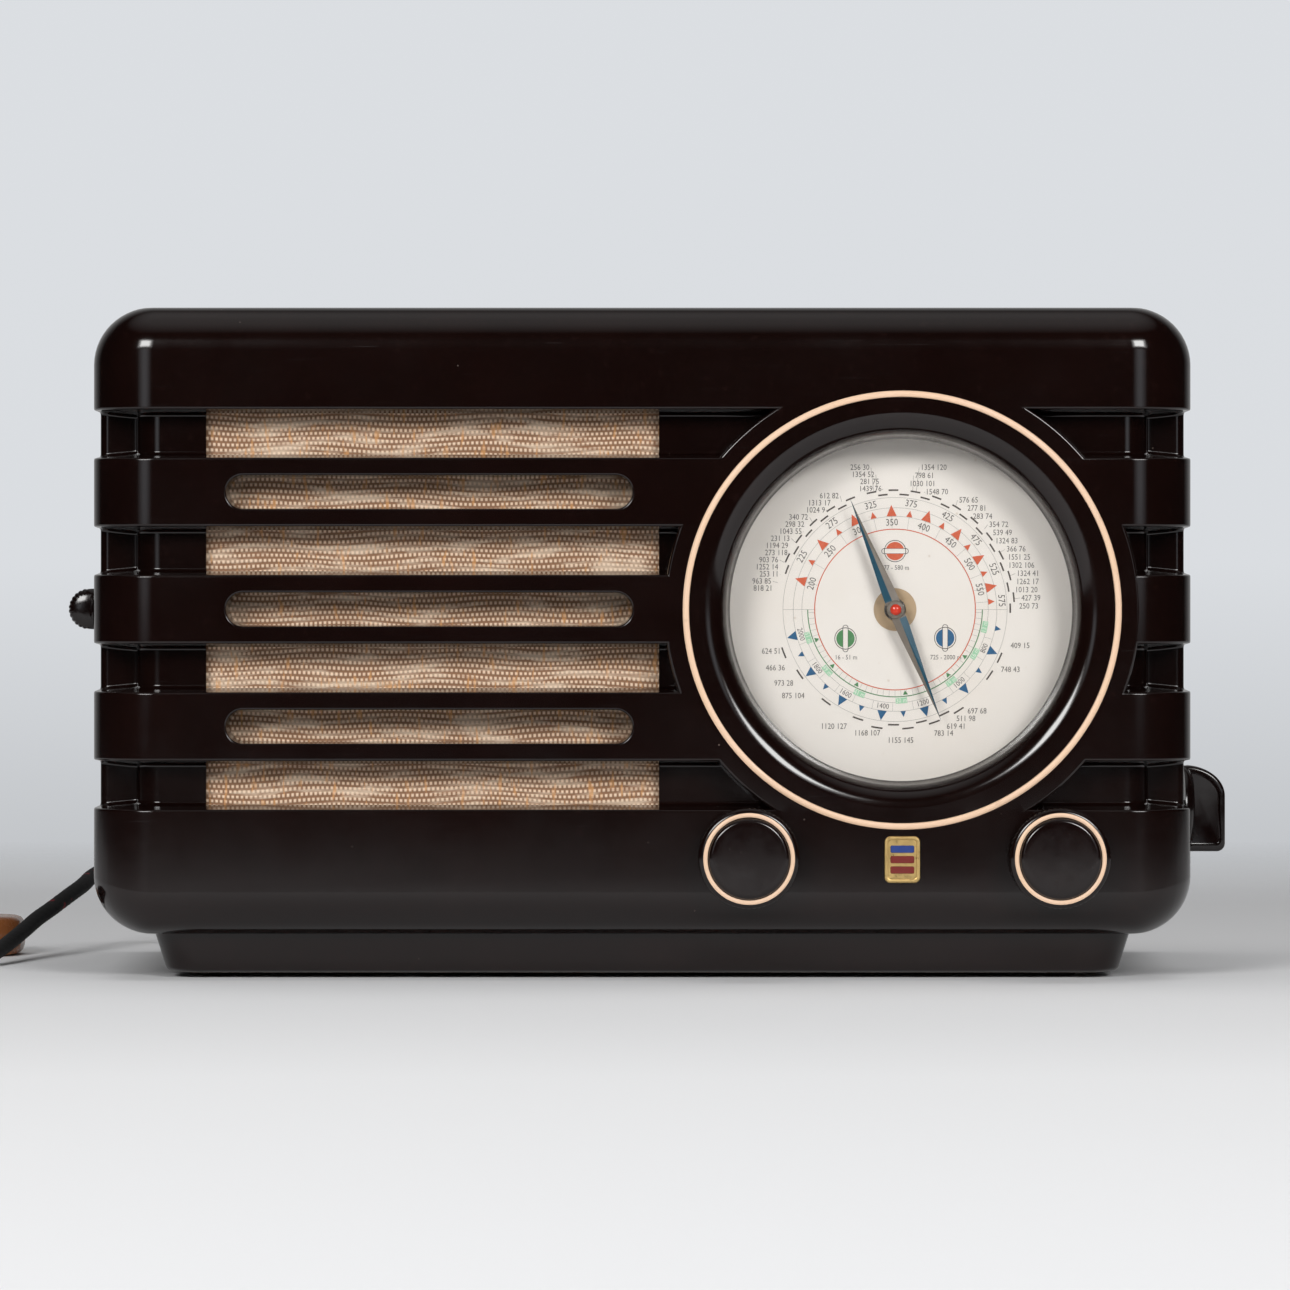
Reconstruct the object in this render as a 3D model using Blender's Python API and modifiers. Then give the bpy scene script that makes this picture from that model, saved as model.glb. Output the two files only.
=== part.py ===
"""Bakelite table radio, about 1950: a moulded case with its chassis, loudspeaker, dial and controls.

Metres, +Z up. The front faces -Y and +X is to the right. The origin is at the bottom centre of the
radio, knobs included. Places inside the case are given as x from the case's middle, depth behind its
front face, and height above the table; at() turns them into world coordinates.
"""
import math

import bmesh
import bpy
from mathutils import Vector

MM = 0.001

# driving dimensions
CASE_HALF_W = 196.5 * MM
CASE_BOTTOM = 16.0 * MM
CASE_TOP = 239.8 * MM
CASE_DEPTH = 190.0 * MM
CASE_ROUND = 20.5 * MM
WALL = 4.0 * MM
GAP = 0.3 * MM
LEFT_OUT = 12.0 * MM
RIGHT_OUT = 15.9 * MM
KNOB_OUT = 16.6 * MM

# front relief
GROOVES = 4
GROOVE_FIRST_Z = 69.5 * MM
GROOVE_PITCH = 41.7 * MM
GROOVE_HALF = 8.6 * MM
RECESS = 14.0 * MM
STEP_BACK = 26.0 * MM
COLUMN_HALF_W = 181.0 * MM
COLUMN_ROUND = 9.0 * MM
SIDE_HALF_W = 194.6 * MM
SIDE_ROUND = 3.0 * MM
PANEL_BACK = 17.8 * MM

# dial
DIAL_X = 92.4 * MM
DIAL_Z = 131.8 * MM
DIAL_AXIS_X = 90.8 * MM
DIAL_BOSS_R = 84.5 * MM
APERTURE_R = 61.1 * MM

# grille
SLOT_X = -75.7 * MM
SLOT_HALF_W = 72.2 * MM
SLOT_HALF_H = 6.0 * MM
CLOTH_LEFT = -155.8 * MM
CLOTH_RIGHT = 6.0 * MM
SPEAKER_X = -75.0 * MM
SPEAKER_Z = 131.0 * MM

# controls
KNOB_Z = 44.0 * MM
VOLUME_X = 37.8 * MM
TUNING_X = 147.9 * MM
KNOB_R = 18.0 * MM
KNOB_RIBS = 16
BAND_DEPTH = 68.0 * MM
BAND_Z = 59.0 * MM
TONE_DEPTH = 60.0 * MM
TONE_PIVOT_X = -168.0 * MM
POINTER_REST = math.radians(22.3)

# tuning capacitor
ROTOR_PLATES = 6
ROTOR_FIRST = 60 * MM
ROTOR_R = 19.0 * MM
PLATE_PITCH = 5.4 * MM
PLATE = 0.9 * MM
ROTOR_REST = math.radians(90) - POINTER_REST

# chassis
CHASSIS_HALF_W = 165.0 * MM
CHASSIS_FRONT = 50.0 * MM
CHASSIS_BACK = 172.0 * MM
CHASSIS_BOTTOM = 20.4 * MM
CHASSIS_TOP = 74.0 * MM
SHEET = 1.2 * MM

# mains cord
CORD_R = 3.0 * MM
CORD_X = -150.0 * MM
CORD_Z = 40.0 * MM
COIL_X = -288.0 * MM
COIL_DEPTH = 105.0 * MM
COIL_INNER = 21.0 * MM
COIL_OUTER = 45.0 * MM
PLUG_X = -251.0 * MM
PLUG_DEPTH = 168.0 * MM

CASE_X = (LEFT_OUT - RIGHT_OUT) / 2
FRONT_Y = (KNOB_OUT - CASE_DEPTH) / 2

# how a part's own +Z is turned
FORWARD = (math.pi / 2, 0, 0)
BACKWARD = (-math.pi / 2, 0, 0)
RIGHTWARD = (0, math.pi / 2, 0)
LEFTWARD = (0, -math.pi / 2, 0)
UP = (0, 0, 0)

COLOURS = {
    "bakelite": ((0.016, 0.006, 0.005), 0.15, 0),
    "cream": ((0.86, 0.66, 0.42), 0.35, 0),
    "ivory": ((0.85, 0.8, 0.68), 0.4, 0),
    "steel": ((0.55, 0.55, 0.53), 0.35, 1),
    "brass": ((0.7, 0.5, 0.2), 0.3, 1),
    "aluminium": ((0.75, 0.75, 0.76), 0.35, 1),
    "black paint": ((0.02, 0.02, 0.02), 0.5, 0),
    "fibreboard": ((0.2, 0.11, 0.05), 0.8, 0),
    "cloth": ((0.5, 0.33, 0.2), 0.9, 0),
    "paper": ((0.12, 0.09, 0.07), 0.9, 0),
    "rubber": ((0.02, 0.02, 0.02), 0.7, 0),
    "glass": ((0.8, 0.85, 0.85), 0.05, 0),
    "red": ((0.6, 0.05, 0.03), 0.3, 0),
    "teal": ((0.05, 0.25, 0.3), 0.3, 0),
}


def at(x, depth, z):
    """The world place of a point given from the case's middle, its front face and the table."""
    return Vector((CASE_X + x, FRONT_Y + depth, z))


def clear_scene():
    for obj in list(bpy.data.objects):
        bpy.data.objects.remove(obj, do_unlink=True)


def collection(name):
    made = bpy.data.collections.new(name)
    bpy.context.scene.collection.children.link(made)
    return made


def material(name):
    found = bpy.data.materials.get(name)
    if found:
        return found
    made = bpy.data.materials.new(name)
    made.use_nodes = True
    shader = made.node_tree.nodes["Principled BSDF"]
    colour, roughness, metallic = COLOURS[name]
    shader.inputs["Base Color"].default_value = (*colour, 1)
    shader.inputs["Roughness"].default_value = roughness
    shader.inputs["Metallic"].default_value = metallic
    return made


def add(name, mesh, finish=None, place=(0, 0, 0), turn=UP):
    """Links a mesh as a part with a finish, or as a hidden cutter when it has none."""
    obj = bpy.data.objects.new(name, mesh)
    obj.location = place
    obj.rotation_euler = turn
    if finish:
        PARTS.objects.link(obj)
        mesh.materials.append(material(finish))
    else:
        CUTTERS.objects.link(obj)
        obj.hide_render = True
        obj.display_type = "WIRE"
    return obj


def modify(obj, other, operation="DIFFERENCE"):
    step = obj.modifiers.new(other.name, "BOOLEAN")
    step.object = other
    step.operation = operation
    step.solver = "EXACT"


def to_mesh(bm, name):
    bmesh.ops.recalc_face_normals(bm, faces=bm.faces)
    mesh = bpy.data.meshes.new(name)
    bm.to_mesh(mesh)
    bm.free()
    return mesh


def box(name, low, high, finish=None, round_edges=0.0, segments=2):
    """A box between two corners given as (x, depth, z)."""
    a = at(*low)
    b = at(*high)
    size = b - a
    bm = bmesh.new()
    bmesh.ops.create_cube(bm, size=1)
    bmesh.ops.scale(bm, vec=size, verts=bm.verts)
    obj = add(name, to_mesh(bm, name), finish, (a + b) / 2)
    if round_edges:
        edge = obj.modifiers.new("round", "BEVEL")
        edge.width = round_edges
        edge.segments = segments
    return obj


def cylinder(name, radius, length, place, turn, finish=None, sides=16):
    """A cylinder that starts at a place and runs along the part's own +Z."""
    bm = bmesh.new()
    bmesh.ops.create_cone(
        bm, cap_ends=True, segments=sides, radius1=radius, radius2=radius, depth=length
    )
    bmesh.ops.translate(bm, vec=(0, 0, length / 2), verts=bm.verts)
    obj = add(name, to_mesh(bm, name), finish, place, turn)
    smooth(obj)
    return obj


def turned(name, profile, place, turn, finish=None, steps=24, ring=False):
    """Turns (radius, height) points, top to bottom down the outer side, round the part's own Z."""
    bm = bmesh.new()
    verts = [bm.verts.new((r, 0, h)) for r, h in profile]
    for one, two in zip(verts, verts[1:]):
        bm.edges.new((one, two))
    if ring:
        bm.edges.new((verts[-1], verts[0]))
    mesh = bpy.data.meshes.new(name)
    bm.to_mesh(mesh)
    bm.free()
    obj = add(name, mesh, finish, place, turn)
    screw = obj.modifiers.new("turn", "SCREW")
    screw.steps = steps
    screw.render_steps = steps
    screw.use_merge_vertices = True
    screw.merge_threshold = 0.00001
    screw.use_smooth_shade = True
    return obj


def smooth(obj, angle=35):
    obj.data.shade_smooth()
    obj.data.set_sharp_from_angle(angle=math.radians(angle))


def arc(centre_x, centre_y, radius, start, end, count):
    """Points on an arc, angles in degrees."""
    points = []
    for i in range(count + 1):
        angle = math.radians(start + (end - start) * i / count)
        points.append((centre_x + radius * math.cos(angle), centre_y + radius * math.sin(angle)))
    return points


def rounded_outline(half_w, half_h, radius, count=4):
    """A rounded rectangle about the origin, anticlockwise."""
    x = half_w - radius
    y = half_h - radius
    outline = []
    for cx, cy, start in ((x, y, 0), (-x, y, 90), (-x, -y, 180), (x, -y, 270)):
        outline += arc(cx, cy, radius, start, start + 90, count)
    return outline


def prism(name, outline, length, place, turn, finish=None, taper=1.0):
    """A flat outline carried along the part's own +Z for a length."""
    bm = bmesh.new()
    near = [bm.verts.new((x, y, 0)) for x, y in outline]
    far = [bm.verts.new((x * taper, y * taper, length)) for x, y in outline]
    bm.faces.new(near)
    bm.faces.new(far)
    for i in range(len(outline)):
        j = (i + 1) % len(outline)
        bm.faces.new((near[i], near[j], far[j], far[i]))
    return add(name, to_mesh(bm, name), finish, place, turn)


def tube(name, points, radius, finish, resolution=2, closed=False):
    """A wire or cord through world points, as a curve with filled caps."""
    curve = bpy.data.curves.new(name, "CURVE")
    curve.dimensions = "3D"
    curve.bevel_depth = radius
    curve.bevel_resolution = resolution
    curve.use_fill_caps = True
    spline = curve.splines.new("POLY")
    spline.points.add(len(points) - 1)
    for point, place in zip(spline.points, points):
        point.co = (*place, 1)
    spline.use_cyclic_u = closed
    obj = bpy.data.objects.new(name, curve)
    curve.materials.append(material(finish))
    PARTS.objects.link(obj)
    return obj


def joint_empty(name, place):
    empty = bpy.data.objects.new(name, None)
    empty.location = place
    PARTS.objects.link(empty)
    return empty


def hang_on(parent, *pieces):
    for piece in pieces:
        piece.parent = parent
        piece.matrix_parent_inverse.identity()
        piece.location = Vector(piece.location) - Vector(parent.location)


# the case


def groove_centres():
    return [GROOVE_FIRST_Z + GROOVE_PITCH * i for i in range(GROOVES)]


def bar_centres():
    return [z + GROOVE_PITCH / 2 for z in groove_centres()[:-1]]


def inner_corner():
    """The recess outline round the right front corner, as (x, depth), from front to side."""
    front = arc(
        COLUMN_HALF_W - COLUMN_ROUND, RECESS + COLUMN_ROUND, COLUMN_ROUND, -90, 0, 4
    )
    side = arc(SIDE_HALF_W - SIDE_ROUND, STEP_BACK + SIDE_ROUND, SIDE_ROUND, -90, 0, 2)
    return front + [(COLUMN_HALF_W, STEP_BACK)] + side


def outer_corner(inner):
    """Points on the case's own front corner, one for each point of the recess outline."""
    lengths = [0.0]
    for one, two in zip(inner, inner[1:]):
        lengths.append(lengths[-1] + math.dist(one, two))
    outer = []
    for length in lengths:
        angle = math.radians(-90 + 90 * length / lengths[-1])
        outer.append(
            (
                CASE_HALF_W - CASE_ROUND + CASE_ROUND * math.cos(angle),
                CASE_ROUND + CASE_ROUND * math.sin(angle),
                math.cos(angle),
                math.sin(angle),
            )
        )
    return outer


def plan_stations():
    """Round the plan from the left rear to the right rear: outer point, outward normal, inner point."""
    inner = inner_corner()
    outer = outer_corner(inner)
    right = [(o[0], o[1], o[2], o[3], i[0], i[1]) for o, i in zip(outer, inner)]
    right.append((CASE_HALF_W, CASE_DEPTH, 1, 0, SIDE_HALF_W, CASE_DEPTH))
    left = [(-x, d, -nx, nd, -ix, idepth) for x, d, nx, nd, ix, idepth in reversed(right)]
    return left + right


def case_profile():
    """Down the outside of the case: how far in from the outer outline, 0 outer or 1 inner, height."""
    rows = []
    for r, h in arc(0, 0, CASE_ROUND, 90, 0, 5):
        rows.append((CASE_ROUND - r, 0, CASE_TOP - CASE_ROUND + h))
    for z in reversed(groove_centres()):
        rows.append((0, 0, z + GROOVE_HALF))
        rows.append((0, 1, z + GROOVE_HALF - 1.0 * MM))
        rows.append((0, 1, z - GROOVE_HALF + 1.0 * MM))
        rows.append((0, 0, z - GROOVE_HALF))
    for r, h in arc(0, 0, CASE_ROUND, 0, -90, 5):
        rows.append((CASE_ROUND - r, 0, CASE_BOTTOM + CASE_ROUND + h))
    return rows


def case_body():
    """The outside of the case as one grid of stations round it by rows down it, closed at the rear."""
    bm = bmesh.new()
    grid = []
    stations = plan_stations()
    for x, d, nx, nd, ix, idepth in stations:
        column = []
        for inset, inner, z in case_profile():
            px = ix if inner else x - nx * inset
            pd = idepth if inner else d - nd * inset
            column.append(bm.verts.new(at(px, pd, z)))
        grid.append(column)
    for left, right in zip(grid, grid[1:]):
        for i in range(len(left) - 1):
            bm.faces.new((left[i], left[i + 1], right[i + 1], right[i]))
    bm.faces.new([column[0] for column in grid])
    bm.faces.new([column[-1] for column in reversed(grid)])
    bm.faces.new([*grid[0], *reversed(grid[-1])])
    bmesh.ops.remove_doubles(bm, verts=bm.verts, dist=0.00001)
    bmesh.ops.dissolve_degenerate(bm, edges=bm.edges, dist=0.00001)
    return add("cabinet", to_mesh(bm, "cabinet"), "bakelite")


def case_cavity():
    """What is hollow behind the front panel, and the rebate of the rear cover."""
    middle = (CASE_BOTTOM + CASE_TOP) / 2
    half_h = (CASE_TOP - CASE_BOTTOM) / 2 - WALL
    full = rounded_outline(SIDE_HALF_W - 3.4 * MM, half_h, CASE_ROUND - WALL, 4)
    step = STEP_BACK + WALL
    wide = prism("cavity", full, CASE_DEPTH - step + WALL, at(0, step, middle), BACKWARD)
    narrow = rounded_outline(COLUMN_HALF_W - 3.6 * MM, half_h, CASE_ROUND - WALL, 4)
    deep = prism("cavity_front", narrow, STEP_BACK, at(0, PANEL_BACK, middle), BACKWARD)
    roof = box(
        "cavity_roof",
        (-165 * MM, 9 * MM, 211 * MM),
        (165 * MM, PANEL_BACK + WALL, CASE_TOP - 9 * MM),
    )
    return [wide, deep, roof]


def case_plinth():
    half_w = 175.6 * MM
    half_d = 85.0 * MM
    outline = rounded_outline(half_w, half_d, 12 * MM, 3)
    middle = CASE_DEPTH / 2 + 5 * MM
    top = CASE_BOTTOM + 2 * MM
    height = top - 2.0 * MM
    place = at(0, middle, top)
    return prism("plinth", outline, height, place, (math.pi, 0, 0), taper=0.972)


def case_openings():
    """Everything cut through the case, apart from its main hollow."""
    cuts = []
    for n, z in enumerate(bar_centres()):
        slot = rounded_outline(SLOT_HALF_W, SLOT_HALF_H, SLOT_HALF_H - 0.1 * MM, 4)
        cuts.append(prism(f"slot_{n}", slot, 30 * MM, at(SLOT_X, -2 * MM, z), BACKWARD))
    for n, z in enumerate(groove_centres()):
        cuts.append(
            box(
                f"window_{n}",
                (CLOTH_LEFT, RECESS - MM, z - GROOVE_HALF + 1.5 * MM),
                (CLOTH_RIGHT, PANEL_BACK + MM, z + GROOVE_HALF - 1.5 * MM),
            )
        )
    funnel = [(0, 2 * MM), (70.9 * MM, 2 * MM)]
    funnel += [(r, h) for r, h in arc(70.9 * MM, -7.4 * MM, 7.4 * MM, 90, 180, 6)]
    funnel += [
        (APERTURE_R, -11 * MM),
        (APERTURE_R, -12.4 * MM),
        (66.3 * MM, -12.6 * MM),
        (66.3 * MM, -21 * MM),
        (0, -21 * MM),
    ]
    cuts.append(turned("funnel", funnel, at(DIAL_X, 0, DIAL_Z), FORWARD, steps=44))
    rebate = [
        (78.3 * MM, 2 * MM),
        (78.3 * MM, -2.2 * MM),
        (75.3 * MM, -2.2 * MM),
        (75.3 * MM, 2 * MM),
    ]
    cuts.append(turned("ring_rebate", rebate, at(DIAL_X, 0, DIAL_Z), FORWARD, steps=44, ring=True))
    for name, x in (("volume", VOLUME_X), ("tuning", TUNING_X)):
        cuts.append(
            cylinder(f"{name}_hole", 5 * MM, 24 * MM, at(x, -2 * MM, KNOB_Z), BACKWARD)
        )
    place = at(SIDE_HALF_W - 10 * MM, BAND_DEPTH, BAND_Z)
    cuts.append(cylinder("band_hole", 5 * MM, 20 * MM, place, RIGHTWARD))
    cuts.append(
        box(
            "tone_hole",
            (-CASE_HALF_W - 2 * MM, TONE_DEPTH - 2.5 * MM, DIAL_Z - 9 * MM),
            (-CASE_HALF_W + 10 * MM, TONE_DEPTH + 2.5 * MM, DIAL_Z + 9 * MM),
        )
    )
    cuts.append(
        box("floor_hole", (-156 * MM, 36 * MM, -MM), (156 * MM, 164 * MM, CASE_BOTTOM + 6 * MM))
    )
    cuts.append(
        box("floor_rebate", (-163 * MM, 27 * MM, -MM), (163 * MM, 173 * MM, 4.6 * MM))
    )
    return cuts


def screw_places():
    for side in (-1, 1):
        for z in (CASE_BOTTOM + 16 * MM, CASE_TOP - 16 * MM):
            yield side * 181.5 * MM, z


def make_cabinet():
    cabinet = case_body()
    boss = [
        (0, -0.02 * MM),
        (DIAL_BOSS_R - 0.8 * MM, -0.02 * MM),
        (DIAL_BOSS_R, -0.8 * MM),
        (DIAL_BOSS_R, -15 * MM),
        (0, -15 * MM),
    ]
    joined = [
        turned("dial_boss", boss, at(DIAL_X, 0, DIAL_Z), FORWARD, steps=44),
        case_plinth(),
    ]
    for shape in joined:
        modify(cabinet, shape, "UNION")
    for shape in case_cavity():
        modify(cabinet, shape)
    for n, (x, z) in enumerate(screw_places()):
        post = cylinder(f"post_{n}", 9 * MM, 30 * MM, at(x, 155 * MM, z), BACKWARD, sides=16)
        modify(cabinet, post, "UNION")
    for shape in case_openings():
        modify(cabinet, shape)
    for n, (x, z) in enumerate(screw_places()):
        hole = cylinder(f"screw_hole_{n}", 1.9 * MM, 20 * MM, at(x, 170 * MM, z), BACKWARD, sides=10)
        modify(cabinet, hole)
    smooth(cabinet)


def make_front_trim():
    ring = [
        (78.0 * MM, 0.5 * MM),
        (78.0 * MM, -1.9 * MM),
        (75.7 * MM, -1.9 * MM),
        (75.7 * MM, 0.5 * MM),
    ]
    turned("dial_trim_ring", ring, at(DIAL_X, 0, DIAL_Z), FORWARD, "cream", 44, ring=True)
    outline = rounded_outline(6.4 * MM, 8.3 * MM, 2.2 * MM)
    place = at(DIAL_X, -GAP, KNOB_Z - 0.8 * MM)
    prism("front_badge", outline, 1.2 * MM, place, FORWARD, "brass", taper=0.94)


def make_grille():
    top = groove_centres()[-1] + GROOVE_HALF
    bottom = groove_centres()[0] - GROOVE_HALF
    left = CLOTH_LEFT - 5 * MM
    right = CLOTH_RIGHT + 4 * MM
    front = PANEL_BACK + GAP
    box(
        "grille_cloth",
        (left, front, bottom - 3 * MM),
        (right, front + 0.8 * MM, top + 3 * MM),
        "cloth",
    )
    front += 1.1 * MM
    board = box(
        "baffle_board",
        (left, front, bottom - 4 * MM),
        (right, front + 4 * MM, top + 4 * MM),
        "fibreboard",
    )
    hole = cylinder(
        "speaker_hole", 57 * MM, 12 * MM, at(SPEAKER_X, front - 4 * MM, SPEAKER_Z), BACKWARD, sides=32
    )
    modify(board, hole)


def make_speaker():
    """Basket, paper cone and magnet, one behind the other on one axis."""
    back = PANEL_BACK + 1.4 * MM + 4 * MM + GAP
    place = at(SPEAKER_X, back, SPEAKER_Z)
    outer = [(66, 0), (66, 2), (58, 2.6), (56, 8), (34, 30), (30, 33), (30, 36)]
    inner = [(10, 36), (10, 33), (26, 31.5), (31, 29), (53, 7), (54, 1.6), (54, 0)]
    profile = [(r * MM, h * MM) for r, h in reversed(outer + inner)]
    turned("speaker_basket", profile, place, BACKWARD, "black paint", 24, ring=True)
    cone = [(52.5, 0.4), (52.5, 1.4), (50.5, 3.0), (48, 1.8), (18, 26.0), (15, 29.0), (9.0, 29.3)]
    cone += [(9.0, 28.3), (14.5, 28.0), (17.5, 25.0), (47.5, 0.8), (50.5, 1.8)]
    profile = [(r * MM, h * MM) for r, h in reversed(cone)]
    turned("speaker_cone", profile, place, BACKWARD, "paper", 24, ring=True)
    magnet = [(0, 60), (26, 60), (28, 58), (28, 36.4), (8, 36.4), (8, 30.5), (0, 30.5)]
    profile = [(r * MM, h * MM) for r, h in magnet]
    turned("speaker_magnet", profile, place, BACKWARD, "aluminium", 24)


def make_dial():
    """Glass, its ring, the scale, and the bracket that carries them on the chassis."""
    place = at(DIAL_X, 14.9 * MM, DIAL_Z)
    cylinder("dial_glass", 65.8 * MM, 2 * MM, place, FORWARD, "glass", sides=32)
    ring = [(65.6, 0), (65.6, -1.6), (62.4, -1.6), (62.4, 0)]
    profile = [(r * MM, h * MM) for r, h in ring]
    place = at(DIAL_X, 15.2 * MM, DIAL_Z)
    turned("glass_retaining_ring", profile, place, FORWARD, "steel", 32, ring=True)
    scale = [(66, 0.6), (66, -0.6), (4.2, -0.6), (4.2, 0.6)]
    profile = [(r * MM, h * MM) for r, h in scale]
    place = at(DIAL_AXIS_X, 28 * MM, DIAL_Z)
    turned("dial_scale", profile, place, FORWARD, "ivory", 32, ring=True)

    left = 26 * MM
    right = 156 * MM
    front = 29 * MM
    bottom = CHASSIS_TOP + GAP
    top = 196 * MM
    bracket = box("dial_bracket", (left, front, bottom), (right, 84 * MM, top), "steel")
    inside = box(
        "bracket_inside",
        (left + SHEET, front + SHEET, bottom - 5 * MM),
        (right - SHEET, 90 * MM, top + 5 * MM),
    )
    hole = cylinder("bracket_hole", 5 * MM, 8 * MM, at(DIAL_AXIS_X, 25 * MM, DIAL_Z), BACKWARD)
    lean = box("bracket_lean", (0, 58 * MM, bottom + 34 * MM), (180 * MM, 100 * MM, top + 9 * MM))
    for shape in (inside, hole, lean):
        modify(bracket, shape)


def pointer_outline():
    half = [(0, 43), (2.4, 5), (3.4, 0)]
    right = [(x * MM, z * MM) for x, z in half] + [(2.4 * MM, -5 * MM)]
    left = [(-x, -z) for x, z in right]
    return right + left


def make_tuning():
    """The pointer, its drum and the capacitor's rotor turn together on one axis."""
    empty = joint_empty("tuning_axis", at(DIAL_AXIS_X, 0, DIAL_Z))
    place = at(DIAL_AXIS_X, 22 * MM, DIAL_Z)
    pointer = prism("dial_pointer", pointer_outline(), 0.9 * MM, place, FORWARD, "teal")
    pointer.rotation_euler = (math.pi / 2, -POINTER_REST, 0)
    cap = [(0, 2.4), (1.6, 2.1), (3.2, 1.0), (3.2, 0), (0, 0)]
    profile = [(r * MM, h * MM) for r, h in cap]
    place = at(DIAL_AXIS_X, 22 * MM - 1.2 * MM, DIAL_Z)
    hub_cap = turned("pointer_hub_cap", profile, place, FORWARD, "red", 20)

    drum_profile = [
        (0, -7.7),
        (3, -7.7),
        (3, -19),
        (38, -19),
        (38, -20.2),
        (36, -21.2),
        (36, -22.4),
        (38, -23.4),
        (38, -24.6),
        (3, -24.6),
        (3, -30),
        (0, -30),
    ]
    profile = [(r * MM, (h - 14.6) * MM) for r, h in drum_profile]
    place = at(DIAL_AXIS_X, 0, DIAL_Z)
    drum = turned("tuning_drum", profile, place, FORWARD, "aluminium", 28)

    place = at(DIAL_AXIS_X, 45 * MM, DIAL_Z)
    shaft = cylinder("capacitor_rotor", 3 * MM, 58 * MM, place, BACKWARD, "aluminium", 12)
    lower = arc(0, 0, ROTOR_R, 180, 360, 10)
    half_disc = [(ROTOR_R, 2.4 * MM), (-ROTOR_R, 2.4 * MM)] + lower[1:-1]
    turn = (BACKWARD[0], ROTOR_REST, 0)
    for n in range(ROTOR_PLATES):
        depth = ROTOR_FIRST + PLATE_PITCH * n
        place = at(DIAL_AXIS_X, depth, DIAL_Z)
        plate = prism(f"rotor_plate_{n}", half_disc, PLATE, place, turn)
        modify(shaft, plate, "UNION")
    hang_on(empty, pointer, hub_cap, drum, shaft)


def make_capacitor():
    """A U frame with the fixed plates between its ends."""
    frame_back = 98 * MM
    half_w = 27 * MM
    bottom = DIAL_Z - 26 * MM
    top = DIAL_Z + 24 * MM
    frame = box(
        "capacitor_frame",
        (DIAL_AXIS_X - half_w, 52 * MM, CHASSIS_TOP + GAP),
        (DIAL_AXIS_X + half_w, frame_back, top),
        "aluminium",
    )
    inside = box(
        "frame_inside",
        (DIAL_AXIS_X - half_w - MM, 54 * MM, bottom),
        (DIAL_AXIS_X + half_w + MM, frame_back - 2 * MM, top + MM),
    )
    foot = box(
        "frame_foot",
        (DIAL_AXIS_X - half_w - MM, 54 * MM, CHASSIS_TOP - MM),
        (DIAL_AXIS_X + half_w + MM, frame_back - 2 * MM, bottom - 2 * MM),
    )
    bore = cylinder("frame_bore", 3.3 * MM, 60 * MM, at(DIAL_AXIS_X, 46 * MM, DIAL_Z), BACKWARD, sides=16)
    for shape in (inside, foot, bore):
        modify(frame, shape)
    low = DIAL_Z + 20.5 * MM
    bar = box(
        "capacitor_stator",
        (DIAL_AXIS_X - 16 * MM, 57 * MM, low),
        (DIAL_AXIS_X + 16 * MM, 93 * MM, low + 2.4 * MM),
        "aluminium",
    )
    for n in range(ROTOR_PLATES - 1):
        depth = ROTOR_FIRST + PLATE_PITCH * (n + 0.5)
        plate = box(
            f"stator_plate_{n}",
            (DIAL_AXIS_X - 15 * MM, depth, DIAL_Z + 5 * MM),
            (DIAL_AXIS_X + 15 * MM, depth + PLATE, low + MM),
        )
        modify(bar, plate, "UNION")


def belt_route(radius_drum, radius_shaft, depth):
    """A loop round the drum and the tuning shaft: two arcs joined by their common tangents."""
    dx = TUNING_X - DIAL_AXIS_X
    dz = KNOB_Z - DIAL_Z
    span = math.hypot(dx, dz)
    heading = math.degrees(math.atan2(dz, dx))
    lean = math.degrees(math.acos((radius_drum - radius_shaft) / span))
    drum = arc(DIAL_AXIS_X, DIAL_Z, radius_drum, heading + lean, heading + 360 - lean, 24)
    shaft = arc(TUNING_X, KNOB_Z, radius_shaft, heading - lean, heading + lean, 6)
    return [at(x, depth, z) for x, z in drum + shaft]


def make_drive_cord():
    tube("dial_drive_cord", belt_route(37.0 * MM, 3.9 * MM, 36.4 * MM), 0.5 * MM, "black paint", 1, True)


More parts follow.
